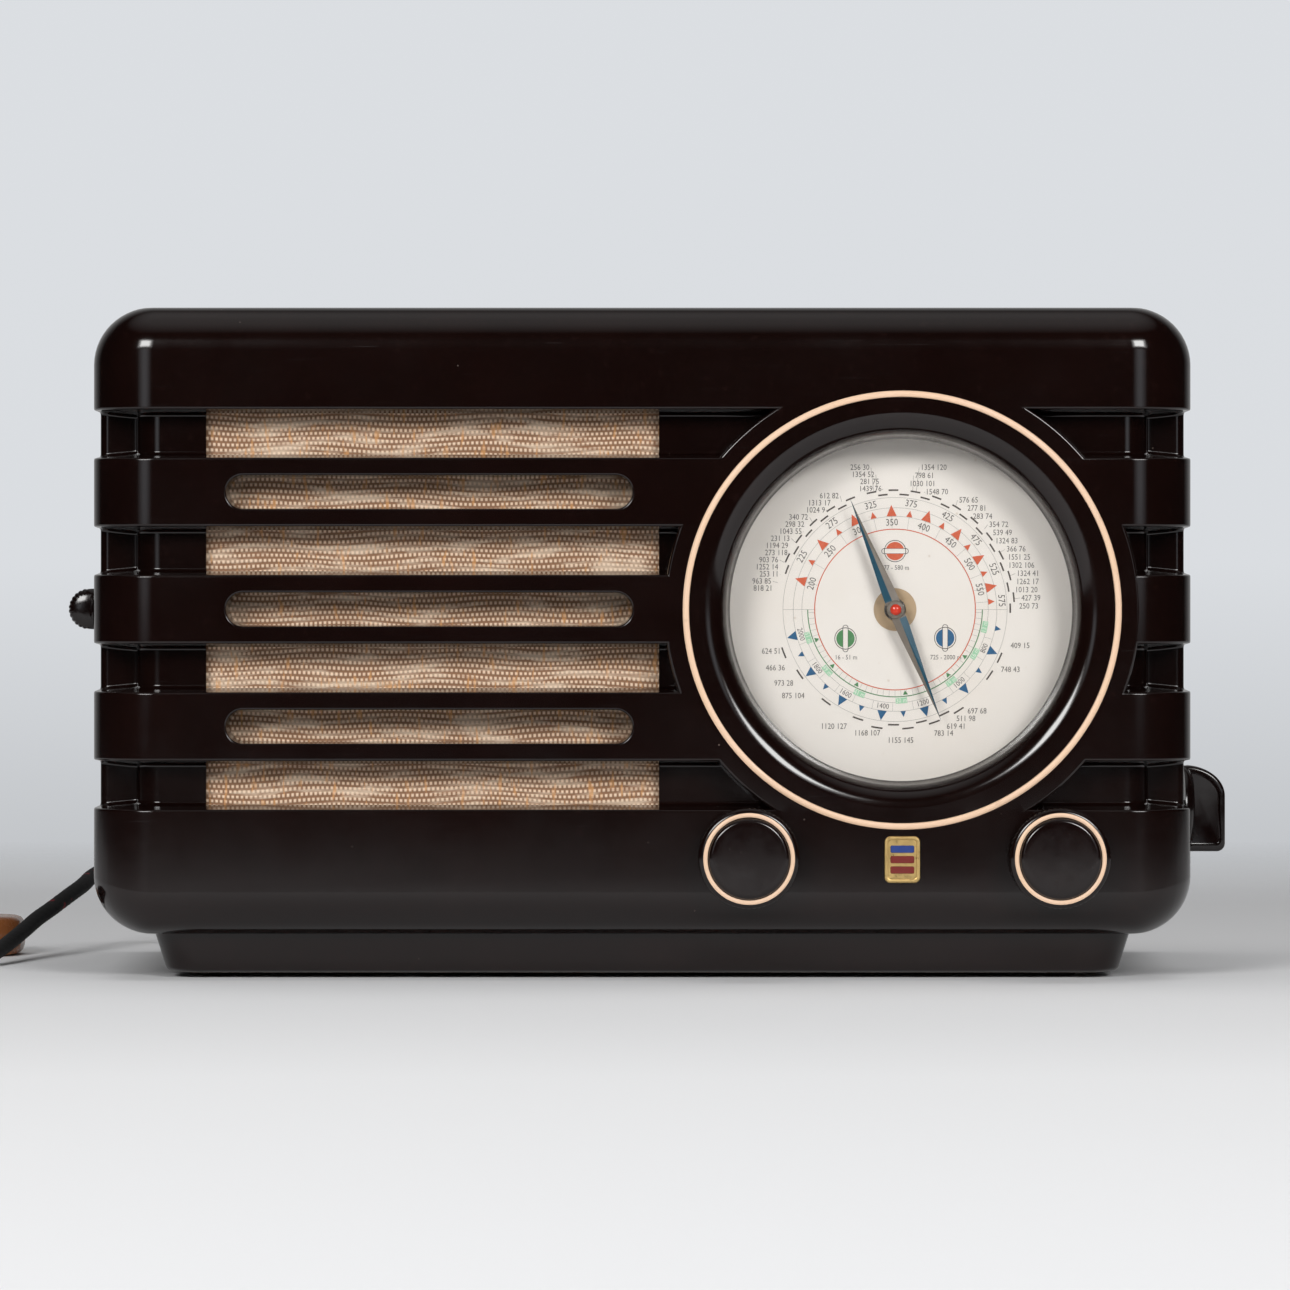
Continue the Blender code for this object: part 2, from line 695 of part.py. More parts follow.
def control_knob(name, x, shaft_depth):
    """A fluted knob, its inlaid ring and its shaft, on one axis."""
    empty = joint_empty(f"{name}_axis", at(x, 0, KNOB_Z))
    body = [(11, 16.5), (13.6, 15.9), (14.4, 15.2), (14.4, 13.6), (16.4, 13.6)]
    body += [(16.9, 12.6), (17.2, 3.2), (16.8, 2.6), (0, 2.6)]
    profile = [(0, KNOB_OUT)] + [(r * MM, h * MM) for r, h in body]
    knob = turned(f"{name}_knob", profile, at(x, 0, KNOB_Z), FORWARD, "bakelite", 32)
    collar = cylinder(f"{name}_socket", 3.3 * MM, 10 * MM, at(x, -12 * MM, KNOB_Z), BACKWARD, sides=16)
    modify(knob, collar)
    for n in range(KNOB_RIBS):
        angle = math.tau * n / KNOB_RIBS
        reach = KNOB_R - 0.8 * MM
        place = at(x + reach * math.cos(angle), -3.4 * MM, KNOB_Z + reach * math.sin(angle))
        rib = cylinder(f"{name}_rib_{n}", 0.8 * MM, 9 * MM, place, FORWARD, sides=5)
        modify(knob, rib, "UNION")
    ring = [(16.2, 15.0), (16.2, 13.9), (14.7, 13.9), (14.7, 15.0)]
    profile = [(r * MM, h * MM) for r, h in ring]
    inlay = turned(f"{name}_knob_ring", profile, at(x, 0, KNOB_Z), FORWARD, "cream", 32, ring=True)
    length = shaft_depth + 11.5 * MM
    shaft = cylinder(f"{name}_shaft", 3 * MM, length, at(x, -11.5 * MM, KNOB_Z), BACKWARD, "steel", 12)
    hang_on(empty, knob, inlay, shaft)
    return knob


def make_controls():
    control_knob("volume", VOLUME_X, 51.5 * MM)
    control_knob("tuning", TUNING_X, 53.5 * MM)
    body = [(0, 0), (12, 0), (12, -14), (0, -14)]
    profile = [(r * MM, h * MM) for r, h in body]
    place = at(VOLUME_X, CHASSIS_FRONT + 2 * MM, KNOB_Z)
    turned("volume_control", profile, place, FORWARD, "brass", 24)

    empty = joint_empty("band_axis", at(CASE_HALF_W, BAND_DEPTH, BAND_Z))
    base = [(0, 4.6), (11, 4.6), (14, 3.4), (15.4, 1.6), (15.6, 0.6), (0, 0.6)]
    profile = [(r * MM, h * MM) for r, h in base]
    knob = turned(
        "band_switch_knob", profile, at(CASE_HALF_W, BAND_DEPTH, BAND_Z), RIGHTWARD, "bakelite", 28
    )
    grip = bar_grip_outline()
    half = 4.2 * MM
    bar = prism("band_grip", grip, half * 2, at(CASE_HALF_W, BAND_DEPTH + half, BAND_Z), FORWARD)
    socket = cylinder("band_socket", 3.3 * MM, 9 * MM, at(CASE_HALF_W - MM, BAND_DEPTH, BAND_Z), RIGHTWARD)
    modify(knob, bar, "UNION")
    modify(knob, socket)
    start = 163.9 * MM
    length = CASE_HALF_W + 7 * MM - start
    place = at(start, BAND_DEPTH, BAND_Z)
    shaft = cylinder("band_switch_shaft", 3 * MM, length, place, RIGHTWARD, "steel", 12)
    hang_on(empty, knob, shaft)
    box(
        "band_switch_body",
        (140 * MM, BAND_DEPTH - 13 * MM, BAND_Z - 13 * MM),
        (163.5 * MM, BAND_DEPTH + 13 * MM, BAND_Z + 13 * MM),
        "fibreboard",
        1.5 * MM,
    )


def bar_grip_outline():
    """The band switch grip from the front: out from the case in x, up in y."""
    out = RIGHT_OUT
    top = [(1.2 * MM, 15.6 * MM)]
    curve = arc(1.2 * MM, 4.6 * MM, out - 1.2 * MM, 84, 0, 8)
    top += [(x, 4.6 * MM + (y - 4.6 * MM) * 0.76) for x, y in curve]
    corner = arc(out - 3 * MM, -12.6 * MM, 3 * MM, 0, -90, 4)
    return top + corner + [(1.2 * MM, -15.6 * MM)]


def make_tone_lever():
    """A lever pivoted inside, with a half-round knurled tip outside the left wall."""
    empty = joint_empty("tone_axis", at(TONE_PIVOT_X, TONE_DEPTH, DIAL_Z))
    tip_x = -CASE_HALF_W - 4.6 * MM
    stem = box(
        "tone_lever",
        (tip_x - MM, TONE_DEPTH - 1.5 * MM, DIAL_Z - 2.5 * MM),
        (TONE_PIVOT_X + 5 * MM, TONE_DEPTH + 1.5 * MM, DIAL_Z + 2.5 * MM),
        "bakelite",
    )
    half_round = arc(0, 0, LEFT_OUT - 4.6 * MM, 90, 270, 14)
    tip = prism("tone_tip", half_round, 7 * MM, at(tip_x, TONE_DEPTH + 3.5 * MM, DIAL_Z), FORWARD)
    modify(stem, tip, "UNION")
    place = at(TONE_PIVOT_X, TONE_DEPTH + 4 * MM, DIAL_Z)
    hole = cylinder("tone_pivot_hole", 1.5 * MM, 8 * MM, place, FORWARD, sides=12)
    modify(stem, hole)
    hang_on(empty, stem)
    body = box(
        "tone_switch_body",
        (GAP * 4 - SIDE_HALF_W + 3.4 * MM, TONE_DEPTH + 2.2 * MM, DIAL_Z - 16 * MM),
        (TONE_PIVOT_X + 14 * MM, TONE_DEPTH + 16 * MM, DIAL_Z + 16 * MM),
        "fibreboard",
    )
    place = at(TONE_PIVOT_X, TONE_DEPTH + 3 * MM, DIAL_Z)
    pin = cylinder("tone_pin", 1.2 * MM, 5 * MM, place, FORWARD, sides=12)
    modify(body, pin, "UNION")


def make_chassis():
    chassis = box(
        "chassis_tray",
        (-CHASSIS_HALF_W, CHASSIS_FRONT, CHASSIS_BOTTOM),
        (CHASSIS_HALF_W, CHASSIS_BACK, CHASSIS_TOP),
        "steel",
    )
    hollow = box(
        "tray_inside",
        (-CHASSIS_HALF_W + SHEET, CHASSIS_FRONT + SHEET, CHASSIS_BOTTOM - 5 * MM),
        (CHASSIS_HALF_W - SHEET, CHASSIS_BACK - SHEET, CHASSIS_TOP - SHEET),
    )
    holes = [hollow]
    for name, x in (("volume", VOLUME_X), ("tuning", TUNING_X)):
        place = at(x, CHASSIS_FRONT - 3 * MM, KNOB_Z)
        holes.append(cylinder(f"{name}_apron", 3.3 * MM, 8 * MM, place, BACKWARD, sides=12))
    place = at(CHASSIS_HALF_W - 4 * MM, BAND_DEPTH, BAND_Z)
    holes.append(cylinder("band_apron", 3.3 * MM, 8 * MM, place, RIGHTWARD, sides=12))
    for shape in holes:
        modify(chassis, shape)


def valve(name, x, depth, radius, height):
    """A glass bulb on a moulded base, as one outline."""
    place = at(x, depth, CHASSIS_TOP + GAP)
    top = height
    profile = [
        (0, top),
        (radius * 0.35, top - 0.6 * MM),
        (radius * 0.8, top - 3.5 * MM),
        (radius, top - 9 * MM),
        (radius, 15 * MM),
        (radius + 1.6 * MM, 14 * MM),
        (radius + 1.6 * MM, 0),
        (0, 0),
    ]
    turned(name, profile, place, UP, "glass", 16)


def chassis_block(name, near, far, height, finish):
    """A box on the chassis with softened edges, its corners given in mm as (x, depth)."""
    base = CHASSIS_TOP + GAP
    low = (near[0] * MM, near[1] * MM, base)
    high = (far[0] * MM, far[1] * MM, base + height * MM)
    box(name, low, high, finish, 1.5 * MM, 1)


def make_chassis_parts():
    """What stands on the chassis, from left to right as seen from the front."""
    top = CHASSIS_TOP + GAP
    chassis_block("mains_transformer", (-160, 112), (-96, 164), 56, "black paint")
    chassis_block("output_transformer", (-84, 128), (-46, 162), 32, "steel")
    can = [(0, 74), (13, 74), (14, 72.6), (14, 0), (0, 0)]
    profile = [(r * MM, h * MM) for r, h in can]
    turned("smoothing_capacitor", profile, at(-24 * MM, 142 * MM, top), UP, "aluminium", 20)
    valve("rectifier_valve", 10 * MM, 146 * MM, 11 * MM, 66 * MM)
    valve("output_valve", 44 * MM, 146 * MM, 11 * MM, 70 * MM)
    valve("detector_valve", 78 * MM, 146 * MM, 9.5 * MM, 60 * MM)
    valve("mixer_valve", 112 * MM, 146 * MM, 9.5 * MM, 62 * MM)
    chassis_block("first_intermediate_can", (-8, 98), (14, 120), 58, "aluminium")
    chassis_block("second_intermediate_can", (134, 130), (156, 152), 58, "aluminium")
    for side, name in ((-1, "left_dial_lamp"), (1, "right_dial_lamp")):
        lamp = [(0, 14), (2.6, 13), (4, 10), (3.4, 7), (3.4, -6), (0, -6)]
        profile = [(r * MM, h * MM) for r, h in lamp]
        place = at(DIAL_AXIS_X + side * 54 * MM, 23.0 * MM, DIAL_Z - 52 * MM)
        turned(name, profile, place, UP, "glass", 12)


def make_rear():
    """The fibreboard back with its slots, four screws and the aerial socket plate."""
    middle = (CASE_BOTTOM + CASE_TOP) / 2
    half_w = SIDE_HALF_W - 3.4 * MM - 0.5 * MM
    half_h = (CASE_TOP - CASE_BOTTOM) / 2 - WALL - 0.5 * MM
    front = 185.3 * MM
    thick = 2.2 * MM
    outline = rounded_outline(half_w, half_h, CASE_ROUND - WALL, 4)
    cover = prism("rear_cover", outline, thick, at(0, front, middle), BACKWARD, "fibreboard")
    for column in range(6):
        for row in range(5):
            x = (-125 + 50 * column) * MM
            z = (118 + 22 * row) * MM
            slot = box(
                f"vent_{column}_{row}",
                (x - 17 * MM, front - MM, z - 2.5 * MM),
                (x + 17 * MM, front + thick + MM, z + 2.5 * MM),
            )
            modify(cover, slot)
    place = at(CORD_X, 182 * MM, CORD_Z)
    modify(cover, cylinder("cord_hole", 6 * MM, 8 * MM, place, BACKWARD, sides=16))
    modify(cover, box("socket_window", (60 * MM, 182 * MM, 44 * MM), (110 * MM, 192 * MM, 60 * MM)))
    low = (56 * MM, 172.4 * MM, 42 * MM)
    high = (114 * MM, 174.4 * MM, 62 * MM)
    plate = box("aerial_socket_plate", low, high, "fibreboard")
    for n, x in enumerate((68, 80, 90, 102)):
        place = at(x * MM, 170 * MM, 52 * MM)
        modify(plate, cylinder(f"socket_{n}", 2 * MM, 8 * MM, place, BACKWARD, sides=12))
    for n, (x, z) in enumerate(screw_places()):
        place = at(x, 182 * MM, z)
        modify(cover, cylinder(f"cover_hole_{n}", 2.3 * MM, 8 * MM, place, BACKWARD, sides=12))
        head = [(0, 2.4), (2.4, 2.1), (3.8, 1.0), (3.8, 0), (1.6, 0), (1.6, -13), (0, -13)]
        profile = [(r * MM, h * MM) for r, h in head]
        turned(f"rear_cover_screw_{n + 1}", profile, at(x, 187.6 * MM, z), BACKWARD, "brass", 12)


def make_underside():
    low = (-162.6 * MM, 27.4 * MM, 1.4 * MM)
    high = (162.6 * MM, 172.6 * MM, 4.2 * MM)
    cover = box("bottom_cover", low, high, "fibreboard")
    number = 0
    for x in (-151, 151):
        for depth in (41, 159):
            number += 1
            place = at(x * MM, depth * MM, 0)
            below = place - Vector((0, 0, MM))
            hole = cylinder(f"foot_hole_{number}", 2.8 * MM, 8 * MM, below, UP, sides=12)
            modify(cover, hole)
            foot = [(0, 7), (2.4, 7), (3.4, 5), (2.5, 4.6), (2.5, 1.0), (5.4, 1.0), (5.4, 0), (0, 0)]
            profile = [(r * MM, h * MM) for r, h in foot]
            turned(f"rubber_foot_{number}", profile, place, UP, "rubber", 14)


def smooth_route(points, spacing):
    """Evenly spaced points on a Catmull-Rom curve through the route's own points."""
    ends = [points[0] * 2 - points[1], *points, points[-1] * 2 - points[-2]]
    fine = []
    for a, b, c, d in zip(ends, ends[1:], ends[2:], ends[3:]):
        for step in range(20):
            t = step / 20
            fine.append(
                (b * 2 + (c - a) * t + (a * 2 - b * 5 + c * 4 - d) * t**2
                 + (b * 3 - a - c * 3 + d) * t**3) / 2
            )
    fine.append(points[-1])
    even = [fine[0]]
    walked = 0.0
    for one, two in zip(fine, fine[1:]):
        walked += (two - one).length
        if walked >= spacing:
            even.append(two)
            walked = 0.0
    if (even[-1] - fine[-1]).length > spacing / 2:
        even.append(fine[-1])
    return even


CORD_ROUTE = (
    (-150, 214.3, 40),
    (-150, 226, 39.8),
    (-154, 240, 38.6),
    (-165, 252, 36.5),
    (-181, 257, 34),
    (-198, 252, 31.4),
    (-209, 239, 29),
    (-213, 222, 27),
    (-215, 203, 24.6),
    (-219, 184, 21.4),
    (-224, 165, 17.4),
    (-228, 150, 14.4),
    (-231, 135, 11.4),
    (-234, 119, 8.6),
    (-237, 104, 6),
    (-240.5, 90, 4),
    (-246.5, 79.5, 3.1),
)


def make_cord():
    place = at(CORD_X, 183.4 * MM, CORD_Z)
    sleeve = [(3.4, 30.6), (4.4, 30.2), (5.6, 8), (8.4, 7), (8.4, 4.6), (5.6, 4.4), (5.6, 0), (3.4, 0)]
    profile = [(r * MM, h * MM) for r, h in sleeve]
    turned("cord_strain_relief", profile, place, BACKWARD, "rubber", 16, ring=True)
    route = [at(x * MM, depth * MM, z * MM) for x, depth, z in CORD_ROUTE]
    tube("mains_cord", smooth_route(route, 5.5 * CORD_R), CORD_R, "rubber", 2)
    top = 11.8 * MM
    foot = 0.2 * MM
    coil = [(COIL_OUTER, top), (COIL_OUTER, foot), (COIL_INNER, foot), (COIL_INNER, top)]
    turned("cord_coil", coil, at(COIL_X, COIL_DEPTH, 0), UP, "rubber", 24, ring=True)
    make_plug()


def make_plug():
    """A flat round-ended plug lying on its side, its two pins to the rear."""
    outline = rounded_outline(16.5 * MM, 18 * MM, 12 * MM, 4)
    place = at(PLUG_X, PLUG_DEPTH, 0.3 * MM)
    plug = prism("mains_plug", outline, 14.4 * MM, place, UP, "fibreboard")
    edge = plug.modifiers.new("round", "BEVEL")
    edge.width = 3 * MM
    edge.segments = 2
    edge.limit_method = "ANGLE"
    edge.angle_limit = math.radians(50)
    for side in (-1, 1):
        start = at(PLUG_X + side * 9.5 * MM, PLUG_DEPTH + 12 * MM, 7.5 * MM)
        pin = cylinder(f"pin_{side}", 2.4 * MM, 25 * MM, start, BACKWARD, sides=10)
        modify(plug, pin, "UNION")


PARTS = None
CUTTERS = None


def main():
    global PARTS, CUTTERS
    clear_scene()
    PARTS = collection("table_radio")
    CUTTERS = collection("cutters")
    make_cabinet()
    make_front_trim()
    make_grille()
    make_speaker()
    make_dial()
    make_tuning()
    make_capacitor()
    make_drive_cord()
    make_controls()
    make_tone_lever()
    make_chassis()
    make_chassis_parts()
    make_rear()
    make_underside()
    make_cord()


main()
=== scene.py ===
"""The looks of the bakelite table radio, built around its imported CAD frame."""
import math
import random
from math import cos, dist, pi, radians, sin, sqrt, tau

import bmesh
import bpy
from mathutils import Matrix, Vector


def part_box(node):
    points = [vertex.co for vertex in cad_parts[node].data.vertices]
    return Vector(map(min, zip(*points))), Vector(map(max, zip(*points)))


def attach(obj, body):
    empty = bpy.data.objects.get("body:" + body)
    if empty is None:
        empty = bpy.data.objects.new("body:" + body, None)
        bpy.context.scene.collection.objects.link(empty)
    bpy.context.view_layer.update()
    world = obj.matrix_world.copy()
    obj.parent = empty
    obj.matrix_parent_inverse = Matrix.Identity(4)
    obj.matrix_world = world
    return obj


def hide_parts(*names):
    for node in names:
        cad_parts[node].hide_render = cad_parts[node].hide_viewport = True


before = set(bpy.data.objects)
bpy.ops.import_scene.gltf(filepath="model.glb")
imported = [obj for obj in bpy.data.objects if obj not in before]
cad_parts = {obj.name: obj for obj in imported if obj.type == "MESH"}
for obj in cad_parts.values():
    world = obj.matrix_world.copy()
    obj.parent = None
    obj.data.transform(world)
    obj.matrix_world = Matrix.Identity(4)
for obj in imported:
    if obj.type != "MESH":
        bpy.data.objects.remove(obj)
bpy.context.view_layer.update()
MM = 0.001

# places taken from the frame
CASE_LOW, CASE_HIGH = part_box("cabinet")
CASE_X = (CASE_LOW.x + CASE_HIGH.x) / 2
FRONT_Y = CASE_LOW.y
HALF_W = (CASE_HIGH.x - CASE_LOW.x) / 2
DEPTH = CASE_HIGH.y - CASE_LOW.y
TOP = CASE_HIGH.z
BOTTOM = 16.0 * MM

# the case's own measures
EDGE_FRONT = 15.6 * MM
EDGE_SIDE = 20.5 * MM
PLAN_ROUND = 23.0 * MM
WALL = 4.0 * MM
GROOVES = [(69.5 + 41.7 * i) * MM for i in range(4)]
BARS = [z + 20.85 * MM for z in GROOVES[:-1]]
GROOVE_HALF = 8.6 * MM
GROOVE_DRAFT = math.tan(radians(5))
BAR_EDGE = 0.9 * MM
FLOOR_EDGE = 1.2 * MM
RECESS = 14.0 * MM
STEP_BACK = 26.0 * MM
COLUMN_HALF_W = 181.0 * MM
COLUMN_ROUND = 9.0 * MM
SIDE_HALF_W = 194.6 * MM
SIDE_ROUND = 3.0 * MM
PANEL_BACK = 17.8 * MM
DIAL_X = 92.4 * MM
DIAL_Z = 131.8 * MM
BOSS_R = 84.5 * MM
AXIS_X = 90.8 * MM
SCALE_FRONT = 27.4 * MM
KNOB_Z = 44.0 * MM
VOLUME_X = 37.8 * MM
TUNING_X = 147.9 * MM
TONE_DEPTH = 60.0 * MM
BAND_DEPTH = 68.0 * MM
BAND_Z = 59.0 * MM
CLOTH_LEFT = -155.8 * MM
CLOTH_RIGHT = 6.0 * MM

# the cloth's weave: row height, bead length, and how far its rows wander
ROW = 1.9 * MM
BEAD = 1.65 * MM
WANDER = (0.55 * MM, 0.35 * MM)

# turns that take a part's own Z to where it points
FORWARD = Matrix.Rotation(pi / 2, 4, "X")
BACKWARD = Matrix.Rotation(-pi / 2, 4, "X")
RIGHTWARD = Matrix.Rotation(pi / 2, 4, "Y")
UP = Matrix.Identity(4)

# sockets of the Mix node that carry colours, and of the Map Range node
COLOUR_A, COLOUR_B, COLOUR_OUT = 6, 7, 2
RANGE = ("From Min", "From Max", "To Min", "To Max")


def at(x, depth, z):
    """World place of a point given from the case's middle, behind its front face and above the table."""
    return Vector((CASE_X + x, FRONT_Y + depth, z))


# materials


class Graph:
    """Short calls for the nodes of a material or a world."""

    def __init__(self, tree):
        self.tree = tree

    def node(self, kind):
        return self.tree.nodes.new("ShaderNode" + kind)

    def join(self, value, socket):
        """Links a socket, or sets a number or colour on it."""
        if isinstance(value, bpy.types.NodeSocket):
            self.tree.links.new(value, socket)
        else:
            socket.default_value = value

    def axes(self, place):
        node = self.node("SeparateXYZ")
        self.join(place, node.inputs[0])
        return node.outputs

    def levels(self, value, low, high, to_low=0.0, to_high=1.0):
        """Maps the span from low to high onto the span from to_low to to_high, and clamps it."""
        node = self.node("MapRange")
        self.join(value, node.inputs["Value"])
        for socket, number in zip(RANGE, (low, high, to_low, to_high)):
            node.inputs[socket].default_value = number
        return node.outputs[0]

    def maths(self, operation, a, b):
        node = self.node("Math")
        node.operation = operation
        self.join(a, node.inputs[0])
        self.join(b, node.inputs[1])
        return node.outputs[0]

    def mix(self, share, one, two):
        """One colour at a share of 0, the other at 1."""
        node = self.node("Mix")
        node.data_type = "RGBA"
        for value, socket in ((share, "Factor"), (one, COLOUR_A), (two, COLOUR_B)):
            self.join(value, node.inputs[socket])
        return node.outputs[COLOUR_OUT]


class Finish(Graph):
    """A Principled material, built up from its base colour."""

    def __init__(self, name, colour, roughness=0.4, **sockets):
        self.material = bpy.data.materials.new(name)
        self.material.use_nodes = True
        super().__init__(self.material.node_tree)
        self.shader = self.tree.nodes["Principled BSDF"]
        self.place = self.node("TexCoord").outputs["Object"]
        self.colour = (*colour, 1)
        self.relief = None
        self.join(self.colour, self.shader.inputs["Base Color"])
        for socket, value in {"Roughness": roughness, **sockets}.items():
            self.shader.inputs[socket].default_value = value

    def stretched(self, x, y, z):
        node = self.node("Mapping")
        self.join(self.place, node.inputs["Vector"])
        node.inputs["Scale"].default_value = (x, y, z)
        return node.outputs[0]

    def noise(self, scale, detail=3.0, rough=0.5, vector=None, distortion=0.0):
        node = self.node("TexNoise")
        self.join(vector or self.place, node.inputs["Vector"])
        settings = {"Scale": scale, "Detail": detail, "Roughness": rough, "Distortion": distortion}
        for socket, value in settings.items():
            node.inputs[socket].default_value = value
        return node.outputs["Fac"]

    def cells(self, scale):
        node = self.node("TexVoronoi")
        self.join(self.place, node.inputs["Vector"])
        node.inputs["Scale"].default_value = scale
        return node.outputs["Distance"]

    def paint(self, mask, colour):
        """Lays a colour over what is there, as far as the mask says."""
        self.colour = self.mix(mask, self.colour, (*colour, 1))
        self.join(self.colour, self.shader.inputs["Base Color"])

    def cloud(self, noise, low, high, share, colour):
        """Lays a colour where a noise, given as its settings, passes from low to high."""
        self.paint(self.levels(self.noise(*noise), low, high, 0, share), colour)

    def specks(self, scale, high, low, share, colour):
        """Lays a colour on scattered dots."""
        self.paint(self.levels(self.cells(scale), high, low, 0, share), colour)

    def rough(self, value):
        self.join(value, self.shader.inputs["Roughness"])

    def polish(self, noise, low, high, least, most):
        """Varies the roughness from least to most with a noise."""
        self.rough(self.levels(self.noise(*noise), low, high, least, most))

    def bump(self, height, distance, strength=1.0):
        node = self.node("Bump")
        for value, socket in ((height, "Height"), (distance, "Distance"), (strength, "Strength")):
            self.join(value, node.inputs[socket])
        if self.relief:
            self.join(self.relief, node.inputs["Normal"])
        self.relief = node.outputs[0]
        self.join(self.relief, self.shader.inputs["Normal"])


def bakelite():
    """Near-black red-brown moulding: faint mottling, hairline scratches, dust specks and soft polish."""
    made = Finish("bakelite", (0.0050, 0.0016, 0.0012), 0.12, IOR=1.5)
    made.cloud((24, 4, 0.6), 0.45, 0.75, 0.5, (0.0095, 0.0033, 0.0026))
    made.cloud((310, 2), 0.62, 0.76, 0.4, (0.014, 0.006, 0.005))
    specks = made.levels(made.cells(150), 0.05, 0.03)
    thin = made.levels(made.noise(37, 1), 0.58, 0.68)
    made.paint(made.maths("MULTIPLY", specks, thin), (0.13, 0.10, 0.085))
    smear = made.levels(made.noise(30, 5, 0.65), 0.35, 0.75, 0.10, 0.15)
    scratch = made.stretched(3, 3, 260)
    lines = made.levels(made.noise(9, 3, 0.7, scratch, 0.3), 0.66, 0.72, 0, 0.10)
    made.rough(made.maths("ADD", smear, lines))
    made.bump(made.noise(60, 2), 0.00003, 0.25)
    return made.material


def knob_bakelite():
    """The controls' moulding: the case's colour, with less wear."""
    made = Finish("knob_bakelite", (0.0052, 0.0019, 0.0016), 0.1, IOR=1.48)
    made.cloud((60, 3), 0.45, 0.7, 0.5, (0.009, 0.0036, 0.003))
    made.specks(330, 0.09, 0.05, 0.25, (0.08, 0.065, 0.055))
    made.polish((140, 4, 0.6), 0.3, 0.75, 0.08, 0.2)
    made.bump(made.noise(120, 2), 0.00001, 0.25)
    return made.material


def cream_plastic():
    """Aged cream inlay with warm stains."""
    made = Finish("cream_plastic", (0.78, 0.54, 0.38), 0.38)
    made.cloud((45, 4, 0.6), 0.38, 0.7, 0.75, (0.76, 0.52, 0.34))
    made.cloud((210, 4, 0.7), 0.62, 0.76, 0.5, (0.45, 0.26, 0.15))
    made.polish((120, 3), 0.3, 0.7, 0.3, 0.5)
    made.bump(made.noise(300, 2), 0.00003, 0.5)
    return made.material


def ivory_enamel():
    """The dial's ground: warm white with faint yellowing and fly specks."""
    made = Finish("ivory_enamel", (0.80, 0.755, 0.70), 0.42)
    made.cloud((16, 4, 0.6), 0.45, 0.75, 0.5, (0.77, 0.70, 0.62))
    made.specks(95, 0.06, 0.03, 0.3, (0.45, 0.33, 0.22))
    made.polish((80, 3), 0.3, 0.7, 0.36, 0.5)
    made.bump(made.noise(420, 2), 0.00002, 0.5)
    return made.material


def ink(name, colour):
    """Printing ink, slightly worn."""
    made = Finish(name, colour, 0.5)
    made.cloud((900, 3, 0.7), 0.5, 0.75, 0.2, tuple(c * 0.7 + 0.2 for c in colour))
    made.bump(made.noise(1500, 2), 0.00001, 0.4)
    return made.material


def metal(name, colour, roughness, grain=700, patina=(0.25, 0.2, 0.15)):
    """A metal with cloudy patina and uneven polish."""
    made = Finish(name, colour, roughness, Metallic=1.0)
    made.cloud((55, 4, 0.65), 0.48, 0.78, 0.45, patina)
    made.polish((grain, 4, 0.7), 0.25, 0.75, roughness * 0.7, roughness * 1.5)
    made.bump(made.noise(grain, 3), 0.00002, 0.5)
    return made.material


def fibreboard():
    """Pressed brown board with short fibres."""
    made = Finish("fibreboard", (0.20, 0.115, 0.062), 0.75)
    fibre = made.stretched(1, 1, 3.5)
    made.paint(made.levels(made.noise(260, 5, 0.7, fibre, 1.5), 0.35, 0.7), (0.115, 0.062, 0.034))
    made.cloud((900, 2, 0.5, fibre), 0.62, 0.72, 0.6, (0.42, 0.30, 0.20))
    made.polish((300, 3), 0.3, 0.7, 0.6, 0.88)
    made.bump(made.noise(500, 5, 0.7, fibre, 1.0), 0.00012, 0.7)
    return made.material


def rubber():
    """Old black rubber, dusty in its pores."""
    made = Finish("rubber", (0.022, 0.018, 0.016), 0.62)
    made.cloud((240, 4), 0.45, 0.75, 0.5, (0.06, 0.05, 0.045))
    made.polish((400, 3), 0.3, 0.7, 0.5, 0.8)
    made.bump(made.noise(1100, 3), 0.00004, 0.6)
    return made.material


